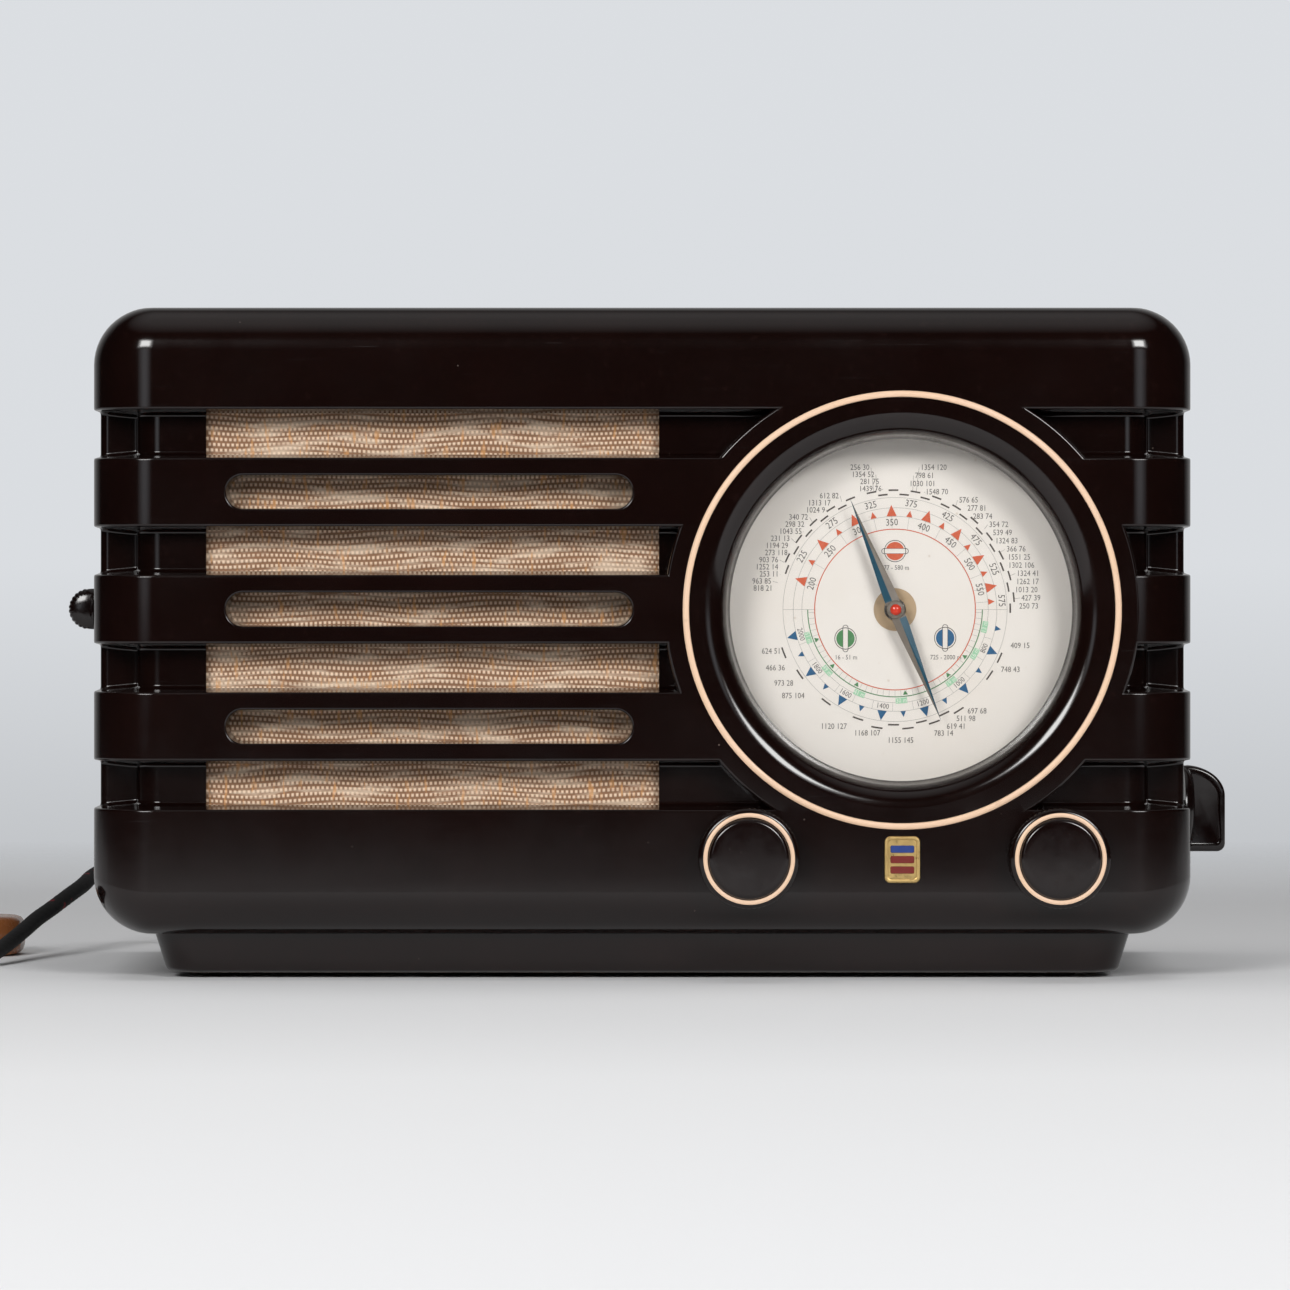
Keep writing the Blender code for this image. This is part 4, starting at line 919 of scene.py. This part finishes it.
def make_case():
    """Shell, boss and plinth in one moulding, hollowed, with its openings cut."""
    case = case_shell()
    flat = BOSS_R / MM - 1.0
    boss = [(0, 0.01), (flat, 0.01)]
    for k in range(1, 7):
        t = radians(15 * k)
        boss.append((flat + sin(t), cos(t) - 0.99))
    boss += [(flat + 2.0, -15), (0, -15)]
    dial = at(DIAL_X, 0, DIAL_Z)
    joined = [spun("boss", boss, dial, FORWARD, None, 160), plinth()]
    carve(case, joined, "UNION")
    middle = (BOTTOM + TOP) / 2
    half_h = (TOP - BOTTOM) / 2 - WALL
    cuts = []
    for half_w, start, end in (
        (SIDE_HALF_W - 3.4 * MM, STEP_BACK + WALL, DEPTH + WALL),
        (COLUMN_HALF_W - 3.6 * MM, PANEL_BACK, STEP_BACK + 2 * WALL),
    ):
        outline = rounded(half_w, half_h, EDGE_SIDE - WALL, 10)
        rings = [[(x, -z, y) for x, z in outline] for y in (start, end)]
        cuts.append(loft("hollow", rings, None, BACKWARD, at(0, 0, middle)))
    cuts.append(block("roof", at(-0.165, 9 * MM, 0.211), at(0.165, PANEL_BACK + WALL, TOP - 9 * MM)))
    carve(case, cuts)
    posts = []
    for x, z in screw_places():
        posts.append(spun("post", peg(9, 0, 30), at(x, 0.155, z), BACKWARD, None, 32))
    carve(case, posts, "UNION")
    cuts = [slot_cutter(z) for z in BARS]
    for z in GROOVES:
        low = at(CLOTH_LEFT, RECESS - MM, z - 7.5 * MM)
        cuts.append(block("window", low, at(CLOTH_RIGHT, PANEL_BACK + MM, z + 7.5 * MM)))
    cuts.append(spun("funnel", FUNNEL, dial, FORWARD, None, 192))
    rebate = [(78.15, 2), (78.15, -2.2), (75.45, -2.2), (75.45, 2)]
    cuts.append(spun("rebate", rebate, dial, FORWARD, None, 192, ring=True))
    for x in (VOLUME_X, TUNING_X):
        cuts.append(spun("hole", peg(5, -2, 22), at(x, 0, KNOB_Z), BACKWARD, None, 32))
    place = at(SIDE_HALF_W - 10 * MM, BAND_DEPTH, BAND_Z)
    cuts.append(spun("hole", peg(5, 0, 20), place, RIGHTWARD, None, 32))
    outline = rounded(2.5 * MM, 9 * MM, 2.4 * MM, 8)
    rings = [[(x, y, z) for x, y in outline] for z in (0, 12 * MM)]
    turn = Matrix.Rotation(pi / 2, 4, "Y") @ Matrix.Rotation(pi / 2, 4, "Z")
    cuts.append(loft("lever_slot", rings, None, turn, at(-HALF_W - 2 * MM, TONE_DEPTH, DIAL_Z)))
    cuts.append(block("floor_hole", at(-0.156, 0.036, -MM), at(0.156, 0.164, BOTTOM + 6 * MM)))
    cuts.append(block("floor_rebate", at(-0.163, 0.027, -MM), at(0.163, 0.173, 4.6 * MM)))
    for x, z in screw_places():
        cuts.append(spun("hole", peg(1.9, 0, 20), at(x, 0.170, z), BACKWARD, None, 16))
    carve(case, cuts)
    smooth(case, 30)
    even = case.modifiers.new("even shading", "WEIGHTED_NORMAL")
    even.keep_sharp = True
    even.weight = 80
    stand_in(case, "radio", "cabinet")


def screw_places():
    """Where the rear cover's four screws stand."""
    for side in (-1, 1):
        for z in (BOTTOM + 16 * MM, TOP - 16 * MM):
            yield side * 181.5 * MM, z


# dial


def flat_shapes(name, material, draw, depth=0.0, centre=(0.0, 0.0)):
    """A print on the dial: draw(bm) adds faces in mm, x right and y up from the dial's own centre."""
    bm = bmesh.new()
    draw(bm)
    place = at(AXIS_X + centre[0] * MM, SCALE_FRONT - (0.06 + depth) * MM, DIAL_Z + centre[1] * MM)
    bmesh.ops.scale(bm, vec=(MM, MM, MM), verts=bm.verts)
    piece = add(name, bm, material, FORWARD, place, flip=False)
    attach(piece, "radio")
    return piece


def polygon(bm, points):
    """One flat face."""
    bm.faces.new([bm.verts.new((x, y, 0)) for x, y in points])


def polar(radius, degrees):
    """A dial point, its angle clockwise from the top."""
    angle = radians(degrees)
    return Vector((radius * sin(angle), radius * cos(angle)))


def band(bm, radius, width, start=0.0, end=360.0, step=3.0):
    """Part of a ring round the dial's centre."""
    count = max(1, round(abs(end - start) / step))
    for k in range(count):
        a = start + (end - start) * k / count
        b = start + (end - start) * (k + 1) / count
        corners = ((radius, a), (radius + width, a), (radius + width, b), (radius, b))
        polygon(bm, [polar(*corner) for corner in corners])


def stroke(bm, one, two, width):
    """A straight line between two dial points."""
    one, two = Vector(one), Vector(two)
    side = (two - one).normalized()
    side = Vector((-side.y, side.x)) * width / 2
    polygon(bm, [one - side, two - side, two + side, one + side])


def write(bm, text, size, place, turn=0.0, align="CENTER"):
    """Numerals as flat faces, in Blender's own font."""
    data = bpy.data.curves.new("numerals", "FONT")
    data.body = text
    data.size = size
    data.align_x = align
    data.align_y = "CENTER"
    data.resolution_u = 2
    obj = show("numerals", data)
    bpy.context.view_layer.update()
    mesh = bpy.data.meshes.new_from_object(obj.evaluated_get(bpy.context.evaluated_depsgraph_get()))
    matrix = Matrix.Translation((*place, 0)) @ Matrix.Rotation(-radians(turn), 4, "Z")
    matrix = matrix @ Matrix.Diagonal((0.86, 1, 1, 1))
    mesh.transform(matrix)
    bm.from_mesh(mesh)
    bpy.data.objects.remove(obj, do_unlink=True)
    bpy.data.meshes.remove(mesh)


def medium_angle(metres):
    """Where a medium-wave length sits, degrees clockwise from the top."""
    t = (metres - 200) / 25
    return -72.7 + 12.6 * t - 0.138 * t * t


def long_angle(metres):
    """Where a long-wave length sits, degrees clockwise from the top."""
    t = (metres - 800) / 200
    return 113.5 + 25.6 * t - 0.33 * t * t


def wedge(bm, radius, degrees, height, half, inward=False):
    """A triangle that points outwards or inwards along a dial radius."""
    tip = polar(radius if inward else radius + height, degrees)
    base = radius + height if inward else radius
    spread = math.degrees(half / base)
    polygon(bm, [tip, polar(base, degrees + spread), polar(base, degrees - spread)])


# the dial's prints: places of the three band marks, and the lists of numerals beside the ring
MEDIUM_MARK, SHORT_MARK, LONG_MARK = (0, 21), (-17.8, -10.4), (18, -10.2)
MEDIUM_WAVES = range(200, 600, 25)
LISTS = ((-1, 7.6, 51.0, 18), (1, 1.2, 51.0, 18))
LOWER_LEFT = ((-41, -15), (-39.5, -21), (-36.5, -26.5), (-32.5, -31))
LOWER_RIGHT = ((41.5, -13), (38, -21.6), (26, -36.5), (22, -39.2), (18.5, -42), (14, -44.5))
LOWEST = ((-22, -42), (-10, -44.4), (2, -47))
RANGES = (("177 - 580 m", (0, 15)), ("16 - 51 m", (-17.6, -17.2)), ("725 - 2000 m", (18.2, -17.2)))
LOWER_DASHES = (
    (112, 41.1), (122, 41.1), (145, 42.6), (152, 41.1), (158, 42.6), (164, 41.1), (171, 42.6),
    (178, 41.1), (186, 42.6), (196, 41.1), (214, 41.1), (233, 41.1), (246, 42.6),
)


def draw_fine_lines(bm):
    for radius in (33.4, 36.5, 40.2):
        band(bm, radius, 0.11)
    for side in (-1, 1):
        stroke(bm, (side * 29.0, 0), (side * 40.3, 0), 0.1)
    for metres in MEDIUM_WAVES:
        angle = medium_angle(metres)
        stroke(bm, polar(29.2, angle), polar(33.4, angle), 0.09)
    for k in range(45):
        angle = 92 + 4 * k
        stroke(bm, polar(29.1, angle), polar(31.2, angle), 0.09)
    for metres in range(750, 2050, 100):
        stroke(bm, polar(33.4, long_angle(metres)), polar(36.5, long_angle(metres)), 0.09)


def name_rows(side, first, last, count):
    """Places beside the ring for the numerals that stand for a set's list of stations."""
    for k in range(count):
        y = first + (last - first) * k / (count - 1)
        reach = 44.6 + 1.1 * sin(k * 2.1)
        x = sqrt(max(0.0, reach * reach - min(y, reach) ** 2))
        yield side * max(x, 1.6 + 5.5 * (y - 40) / 8 if y > 40 else 0), y


def draw_numerals(bm):
    chance = random.Random(7)
    for metres in MEDIUM_WAVES:
        angle = medium_angle(metres)
        outer = metres % 50
        write(bm, str(metres), 3.5, polar(38.35 if outer else 31.25, angle), angle)
    for metres in range(800, 2200, 200):
        angle = long_angle(metres)
        write(bm, str(metres), 2.7, polar(34.95, angle), angle - 180)

    def pairs(places, first, second, align):
        for place in places:
            text = f"{chance.randint(*first)} {chance.randint(*second)}"
            write(bm, text, 2.9, place, 0, align)

    for side, *rows in LISTS:
        pairs(name_rows(side, *rows), (155, 1560), (2, 120), "RIGHT" if side < 0 else "LEFT")
    pairs(LOWER_LEFT, (160, 999), (5, 120), "RIGHT")
    pairs(LOWER_RIGHT, (160, 999), (5, 99), "LEFT")
    pairs(LOWEST, (1000, 1999), (20, 150), "CENTER")
    for text, place in RANGES:
        write(bm, text, 2.4, place)


def draw_dashes(bm):
    chance = random.Random(3)
    for k in range(31):
        angle = -72 + 5.3 * k
        radius = 42.6 if k % 2 else 41.1
        if chance.random() < 0.9:
            band(bm, radius, 0.58, angle, angle + 4.7, 2.3)
    for start, radius in LOWER_DASHES:
        band(bm, radius, 0.58, start, start + 5.5, 2.7)
    for side, *rows in LISTS:
        for k, (x, y) in enumerate(name_rows(side, *rows)):
            if k % 3 and abs(x) > 2:
                end = Vector((x, y)).normalized() * 43.2
                stroke(bm, (x - side * 0.5, y), end, 0.1)


def draw_orange(bm):
    band(bm, 28.7, 0.34)
    for metres in MEDIUM_WAVES:
        small = metres % 50
        wedge(bm, 33.6, medium_angle(metres), 2.3 if small else 4.0, 1.1 if small else 1.8)
    half_disc(bm, MEDIUM_MARK, 3.3, 0.95, True)


def half_disc(bm, centre, radius, gap, level):
    """Two segments of a disc on either side of a bar."""
    start = math.degrees(math.asin(gap / radius))
    for side in (0, 180):
        points = arc(0, 0, radius, start + side, 180 - start + side, 16)
        if not level:
            points = [(y, -x) for x, y in points]
        polygon(bm, [(centre[0] + x, centre[1] + y) for x, y in points])


def draw_icons(bm):
    """Outlines of the three band marks: a disc with a bar across it."""
    for centre in (MEDIUM_MARK, SHORT_MARK, LONG_MARK):
        ring = bmesh.new()
        band(ring, 3.7, 0.28, 0, 360, 10)
        half, inside = (1.05, 4.9), (0.82, 4.67)
        if centre == MEDIUM_MARK:
            half, inside = half[::-1], inside[::-1]
        bar = rounded(*half, 1.0, 6)
        inner = rounded(*inside, 0.78, 6)
        for i in range(len(bar)):
            j = (i + 1) % len(bar)
            polygon(ring, [bar[i], bar[j], inner[j], inner[i]])
        bmesh.ops.translate(ring, vec=(*centre, 0), verts=ring.verts)
        mesh = bpy.data.meshes.new("icon")
        ring.to_mesh(mesh)
        ring.free()
        bm.from_mesh(mesh)
        bpy.data.meshes.remove(mesh)


def draw_green(bm):
    band(bm, 31.2, 0.34, 90, 270)
    half_disc(bm, SHORT_MARK, 3.3, 0.95, False)
    for angle in (124, 141, 173, 207, 228, 249):
        wedge(bm, 29.2, angle, 1.6, 0.9, inward=True)


GREEN_BLOCKS = ((101, "13"), (119, "16"), (142, "19"), (176, "30"), (203, "41"), (228, "49"), (252, "51"))


def draw_green_blocks(bm):
    for angle, _ in GREEN_BLOCKS:
        band(bm, 31.8, 2.0, angle - 3.6, angle + 3.6, 2.4)


def draw_green_numbers(bm):
    for angle, text in GREEN_BLOCKS:
        write(bm, text + " m", 2.3, polar(32.8, angle), angle - 180)


def draw_blue(bm):
    for metres in range(700, 2100, 100):
        small = metres % 200
        wedge(bm, 36.6, long_angle(metres), 2.1 if small else 3.5, 1.0 if small else 1.7)
    half_disc(bm, LONG_MARK, 3.3, 0.95, False)


def draw_washer(bm):
    band(bm, 3.9, 3.8, 0, 360, 6)


def make_dial():
    """The enamelled scale with its prints, the pointer and the clear glass."""
    scale = [(4.2, -0.6), (66, -0.6), (66, 0.55), (65.95, 0.6), (4.2, 0.6)]
    place = at(AXIS_X, 28 * MM, DIAL_Z)
    disc = spun("scale_disc", scale, place, FORWARD, IVORY, 128, ring=True)
    stand_in(disc, "radio", "dial_scale")
    grey = ink("grey_ink", (0.10, 0.09, 0.08))
    dark = ink("dark_ink", (0.065, 0.05, 0.04))
    flat_shapes("print_fine_lines", ink("pale_ink", (0.26, 0.25, 0.23)), draw_fine_lines)
    flat_shapes("print_numerals", grey, draw_numerals)
    flat_shapes("print_dashes", dark, draw_dashes)
    flat_shapes("print_orange", ink("orange_ink", (0.60, 0.10, 0.035)), draw_orange, 0.01)
    flat_shapes("print_icons", grey, draw_icons)
    green = ink("green_ink", (0.06, 0.22, 0.075))
    flat_shapes("print_green", green, draw_green, 0.01)
    flat_shapes("print_green_blocks", ink("pale_green_ink", (0.33, 0.60, 0.38)), draw_green_blocks, 0.01)
    flat_shapes("print_green_numbers", ink("white_ink", (0.75, 0.78, 0.7)), draw_green_numbers, 0.02)
    flat_shapes("print_blue", ink("blue_ink", (0.006, 0.095, 0.22)), draw_blue, 0.01)
    washer = lacquer("fibre_washer", (0.46, 0.33, 0.20), 0.6)
    flat_shapes("fibre_washer", washer, draw_washer, 0.05)
    make_pointer()
    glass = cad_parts["dial_glass"]
    glass.data.materials.clear()
    glass.data.materials.append(clear_glass("dial_glass_clear"))


def make_pointer():
    """A stamped needle, ridged along its middle, one flank teal and the other bright."""
    lean = -22.3
    teal = Finish("teal_lacquer", (0.004, 0.06, 0.10), 0.3)
    teal.bump(teal.noise(700, 2), 0.00002, 0.3)
    teal.cloud((300, 3), 0.5, 0.75, 0.4, (0.006, 0.08, 0.13))
    bright = lacquer("grey_needle", (0.15, 0.125, 0.10), 0.4, (0.22, 0.19, 0.16))
    bm = bmesh.new()
    edge = [(0, 43), (1.0, 28), (2.5, 7), (2.6, 3.5), (2.6, -3.5), (2.5, -7), (1.0, -28), (0, -43)]
    ridge = [bm.verts.new((0, y, 1.35 if abs(y) < 40 else 0.95)) for _, y in edge]
    for side in (-1, 1):
        rim = [bm.verts.new((side * x, y, 0.9)) for x, y in edge]
        back = [bm.verts.new((side * x, y, 0.5)) for x, y in edge]
        for k in range(len(edge) - 1):
            mid = (edge[k][1] + edge[k + 1][1]) / 2
            flank = bm.faces.new((ridge[k], rim[k], rim[k + 1], ridge[k + 1]))
            flank.material_index = 0 if side * mid < 0 else 1
            wall = bm.faces.new((rim[k], back[k], back[k + 1], rim[k + 1]))
            wall.material_index = flank.material_index
            under = bm.faces.new((ridge[k], ridge[k + 1], back[k + 1], back[k]))
            under.material_index = 1
    bmesh.ops.scale(bm, vec=(MM, MM, MM), verts=bm.verts)
    bmesh.ops.remove_doubles(bm, verts=bm.verts, dist=1e-7)
    bmesh.ops.dissolve_degenerate(bm, edges=bm.edges, dist=1e-7)
    turn = Matrix.Rotation(radians(lean), 4, "Y") @ FORWARD
    needle = add("needle", bm, teal.material, turn, at(AXIS_X, 22 * MM, DIAL_Z))
    needle.data.materials.append(bright)
    stand_in(needle, "dial", "dial_pointer")
    place = at(AXIS_X, 20.8 * MM, DIAL_Z)
    flange = [(0, 0.9), (2.4, 0.9), (3.1, 0.5), (3.3, -0.1), (3.3, -0.4)]
    hub = spun("needle_hub", flange, place, FORWARD, bright, 48)
    red = lacquer("red_cap", (0.62, 0.035, 0.015), 0.2, (0.75, 0.1, 0.05))
    dome = [(0, 2.35), (1.0, 2.25), (1.7, 1.8), (2.0, 1.2), (2.0, 0.95), (0, 0.95)]
    cap = spun("needle_cap", dome, place, FORWARD, red, 40)
    belong((hub, cap), "dial")
    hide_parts("pointer_hub_cap")


def make_trim_ring():
    """The cream ring let into the case round the dial."""
    profile = [(75.75, -1.9), (78.0, -1.9), (78.0, -0.05), (77.7, 0.28)]
    profile += [(77.2, 0.45), (76.5, 0.45), (76.0, 0.28), (75.75, -0.05)]
    ring = spun("cream_dial_ring", profile, at(DIAL_X, 0, DIAL_Z), FORWARD, CREAM, 192, ring=True)
    stand_in(ring, "radio", "dial_trim_ring")


# grille, badge and controls


def weave_height(x, z):
    """How proud the weave stands at a world place, 0 to 1, matching the fabric's colours."""
    wander = WANDER[0] * sin(110 * x + 2.2 * sin(85 * z))
    wander += WANDER[1] * sin(47 * x + 130 * z)
    v = (z + wander) / ROW
    u = x / BEAD + 0.5 * (math.floor(v) % 2)
    return (0.5 - 0.5 * cos(tau * v)) * (0.65 + 0.35 * cos(tau * u))


def make_cloth():
    """Stretched weave with its rows of beads in relief, pulled flat behind the panel."""
    low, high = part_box("grille_cloth")
    width = high.x - low.x
    height = high.z - low.z
    columns = round(width / (0.55 * MM))
    rows = round(height / (0.48 * MM))
    bm = bmesh.new()
    lines = []
    for j in range(rows + 1):
        z = low.z + height * j / rows
        line = []
        for i in range(columns + 1):
            x = low.x + width * i / columns
            line.append((x, low.y + 0.4 * MM - 0.35 * MM * weave_height(x, z), z))
        lines.append(line)
    skin(bm, lines, closed=False, caps=False)
    cloth = add("speaker_cloth", bm, speaker_fabric(), flip=False)
    cloth.data.shade_smooth()
    stand_in(cloth, "radio", "grille_cloth")


def make_badge():
    """A plain brass plaque with three enamel bars."""
    low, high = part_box("front_badge")
    centre = Vector(((low.x + high.x) / 2, high.y, (low.z + high.z) / 2))
    half_w = (high.x - low.x) / 2
    half_h = (high.z - low.z) / 2
    rings = []
    for inset, rise in ((0, 0), (0, 0.7), (0.25, 1.0), (0.9, 1.1), (1.2, 1.0), (1.35, 0.6)):
        outline = rounded(half_w - inset * MM, half_h - inset * MM, (2.2 - inset * 0.8) * MM, 8)
        rings.append([(x, y, rise * MM) for x, y in outline])
    plaque = loft("badge_plaque", rings, BRASS, FORWARD, centre)
    enamel = lacquer("badge_enamel", (0.16, 0.018, 0.015), 0.18, (0.22, 0.03, 0.02))
    blue = lacquer("badge_blue_enamel", (0.02, 0.045, 0.20), 0.18, (0.04, 0.07, 0.25))
    pieces = [plaque]
    for k in range(3):
        outline = rounded(half_w - 2.1 * MM, 1.35 * MM, 0.6 * MM, 6)
        y = (k - 1) * 3.7 * MM
        rings = []
        for h in (0, 0.7, 1.0):
            wide, tall, out = 1 - 0.06 * h, 1 - 0.1 * h, (0.5 + 0.5 * h) * MM
            rings.append([(px * wide, py * tall + y, out) for px, py in outline])
        pieces.append(loft(f"badge_bar_{k + 1}", rings, blue if k == 2 else enamel, FORWARD, centre))
    belong(pieces, "radio")
    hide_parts("front_badge")


def make_knob(name, x):
    """A domed face, an inlaid cream ring and a finely knurled skirt."""
    flutes = 60

    def knurl(radius, height, angle):
        if radius < 17.0 or not 4.4 < height < 12.4:
            return radius
        return radius - 0.55 + 0.55 * abs(cos(flutes / 2 * angle)) ** 0.6

    face = [(0, 16.55)]
    for k in range(1, 9):
        r = 12.9 * k / 8
        face.append((r, 16.55 - 0.13 * (r / 12.9) ** 2))
    for k in range(1, 7):
        t = radians(15 * k)
        face.append((12.9 + 1.5 * sin(t), 16.42 - 1.5 * (1 - cos(t)) * 1.1))
    skirt = [(14.4, 13.6), (16.3, 13.6), (16.9, 13.45), (17.4, 13.1), (17.7, 12.7)]
    skirt += [(17.95, 12.3 - 0.98 * k) for k in range(9)]
    skirt += [(17.7, 3.2), (17.2, 2.8), (16.4, 2.65), (3.3, 2.65), (3.3, 11.9), (0, 11.9)]
    place = at(x, 0, KNOB_Z)
    steps = flutes * 6
    knob = spun(f"{name}_knob_body", face + skirt, place, FORWARD, KNOB_BAKELITE, steps, wave=knurl)
    ring = [(14.7, 13.95), (16.2, 13.95), (16.2, 14.7), (15.9, 14.95), (15.45, 15.02)]
    ring += [(15.0, 14.95), (14.7, 14.7)]
    inlay = spun(f"{name}_knob_inlay", ring, place, FORWARD, CREAM, 96, ring=True)
    for piece, node in ((knob, f"{name}_knob"), (inlay, f"{name}_knob_ring")):
        stand_in(piece, name, node)


def make_band_knob():
    """Domed base and an upright grip with a flat foot and a panelled flank."""
    base = [(0, 4.6), (9, 4.55), (12, 4.2), (14, 3.4), (15.1, 2.3), (15.6, 1.2)]
    base += [(15.6, 0.65), (3.3, 0.65), (0, 0.65)]
    place = at(HALF_W, BAND_DEPTH, BAND_Z)
    disc = spun("band_knob_base", base, place, RIGHTWARD, KNOB_BAKELITE, 96)
    out = 15.9
    curve = [(x, 4.6 + (y - 4.6) * 0.76) for x, y in arc(1.2, 4.6, out - 1.2, 84, 0, 20)]
    outline = [(1.0, 15.6)] + curve + arc(out - 3, -12.6, 3, 0, -90, 8) + [(1.0, -15.6)]
    centre = Vector((6.5, -1.0))

    def ring(inset, depth):
        points = []
        for x, y in outline:
            away = Vector((x, y)) - centre
            share = max(0.0, 1 - inset / away.length)
            moved = centre + away * share
            points.append((moved.x * MM, moved.y * MM, depth * MM))
        return points

    flank = [(0.0, 3.0), (0.15, 3.6), (0.6, 4.05), (1.2, 4.2)]
    flank += [(2.2, 4.2), (2.5, 4.0), (2.9, 3.75), (3.4, 3.7)]
    rows = [(inset, -half) for inset, half in reversed(flank)] + flank
    rings = [ring(inset, depth) for inset, depth in rows]
    grip = loft("band_knob_grip", rings, KNOB_BAKELITE, FORWARD, place)
    belong((disc, grip), "band_switch")
    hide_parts("band_switch_knob")


def make_tone_tip():
    """The lever's half-round tip: knurled rim, domed front."""
    radius = 7.4
    tip_x = -HALF_W / MM - 4.6
    rows = [(0.0, -4.35), (0.35, -4.3), (0.7, -4.0), (0.88, -3.4), (0.96, -2.6)]
    rows += [(1.0, -1.8), (1.0, 2.6), (0.95, 3.2), (0.5, 3.4)]
    rings = []
    for share, depth in rows:
        outline = []
        for k in range(97):
            angle = radians(90 + 180 * k / 96)
            tooth = 0.32 * abs(cos(13 * (angle - pi / 2))) - 0.32 if share > 0.9 else 0
            r = max(0.4, radius * share + tooth)
            reach = 2.4 * share * max(0.0, 1 - 14 * abs(cos(angle)))
            outline.append(((r * cos(angle) + reach) * MM, r * sin(angle) * MM, -depth * MM))
        rings.append(outline)
    place = at(tip_x * MM, TONE_DEPTH, DIAL_Z)
    tip = loft("tone_lever_tip", rings, KNOB_BAKELITE, FORWARD, place)
    stem_rings = []
    for x, grow in ((-4.0, -0.6), (0.0, 0), (5.0, 0), (34, 0), (38, -0.5)):
        outline = rounded((1.5 + grow * 0.5) * MM, (2.5 + grow) * MM, 0.8 * MM, 6)
        stem_rings.append([(x * MM, a, b) for a, b in outline])
    stem = loft("tone_lever_stem", stem_rings, KNOB_BAKELITE, UP, place)
    belong((tip, stem), "tone")
    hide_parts("tone_lever")


# rear, underside and inside


def make_screws():
    """Round-headed brass screws, their slots at different angles."""
    head = [(0, 2.3), (1.2, 2.2), (2.4, 1.8), (3.3, 1.1), (3.8, 0.2), (3.8, 0), (1.6, 0)]
    head += [(1.6, -12), (0, -13)]
    for n, (x, z) in enumerate(screw_places()):
        place = at(x, 187.6 * MM, z)
        screw = spun(f"cover_screw_{n + 1}", head, place, BACKWARD, BRASS, 40)
        slot = Matrix.Translation(place) @ Matrix.Rotation(0.6 + n, 4, "Y")
        bm = bmesh.new()
        bmesh.ops.create_cube(bm, size=1)
        bmesh.ops.scale(bm, vec=(9 * MM, 2 * MM, 0.8 * MM), verts=bm.verts)
        cutter = add("slot", bm, None, slot, (0, 0, 0))
        cutter.location.y += 2.2 * MM
        bpy.context.view_layer.update()
        smooth(carve(screw, [cutter]))
        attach(screw, "radio")
        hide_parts(f"rear_cover_screw_{n + 1}")


def make_feet():
    """Push-in rubber feet with a barbed stem."""
    profile = [(0, 7), (1.8, 6.95), (2.4, 6.6), (3.4, 5), (3.2, 4.65), (2.5, 4.6), (2.5, 1.1)]
    profile += [(5.2, 1.0), (5.4, 0.7), (5.4, 0.2), (5.2, 0), (3.2, 0), (3.0, 0.15), (0, 0.15)]
    for n in range(1, 5):
        low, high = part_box(f"rubber_foot_{n}")
        centre = Vector(((low.x + high.x) / 2, (low.y + high.y) / 2, 0))
        foot = spun(f"foot_{n}", profile, centre, UP, RUBBER, 40)
        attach(foot, "radio")
        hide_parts(f"rubber_foot_{n}")


def dress_nodes():
    """Gives each CAD node that still shows a material of its own kind."""
    tin = metal("tinned_steel", (0.55, 0.54, 0.50), 0.4, 300, (0.35, 0.30, 0.2))
    alu = metal("drawn_aluminium", (0.72, 0.72, 0.72), 0.33, 500, (0.5, 0.5, 0.48))
    steel = metal("turned_steel", (0.5, 0.5, 0.5), 0.3)
    black = lacquer("black_enamel", (0.02, 0.02, 0.02), 0.4)
    paper = lacquer("cone_paper", (0.05, 0.042, 0.035), 0.85, (0.12, 0.1, 0.08))
    phenolic = lacquer("phenolic", (0.20, 0.10, 0.04), 0.45, (0.3, 0.17, 0.08))
    cord = lacquer("waxed_cord", (0.24, 0.18, 0.1), 0.8)
    bulb = clear_glass("valve_glass", 1.0, (0.8, 0.82, 0.82), 0.35)
    groups = (
        (tin, "chassis_tray dial_bracket output_transformer volume_control"),
        (steel, "glass_retaining_ring speaker_magnet volume_shaft tuning_shaft band_switch_shaft"),
        (black, "speaker_basket mains_transformer"),
        (paper, "speaker_cone"),
        (FIBREBOARD, "baffle_board rear_cover bottom_cover"),
        (phenolic, "aerial_socket_plate band_switch_body tone_switch_body"),
        (cord, "dial_drive_cord"),
        (bulb, "rectifier_valve output_valve detector_valve mixer_valve left_dial_lamp right_dial_lamp"),
    )
    kinds = {name: material for material, names in groups for name in names.split()}
    for name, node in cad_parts.items():
        if name == "dial_glass":
            continue
        node.data.materials.clear()
        node.data.materials.append(kinds.get(name, alu))


BAKELITE = bakelite()
KNOB_BAKELITE = knob_bakelite()
CREAM = cream_plastic()
IVORY = ivory_enamel()
BRASS = metal("aged_brass", (0.60, 0.42, 0.17), 0.32, 600, (0.30, 0.18, 0.07))
FIBREBOARD = fibreboard()
RUBBER = rubber()
BRAID = braid()
MOTTLED = lacquer("mottled_bakelite", (0.28, 0.10, 0.035), 0.22, (0.10, 0.03, 0.012))

dress_nodes()
make_camera()
make_stage()
make_lights()
lead, lead_length, lead_path = make_cord()
sleeve = make_strain_relief()
plug = make_plug()
tie = make_cord_tie()
make_case()
make_trim_ring()
make_dial()
make_cloth()
make_badge()
make_knob("volume", VOLUME_X)
make_knob("tuning", TUNING_X)
make_band_knob()
make_tone_tip()
make_screws()
make_feet()
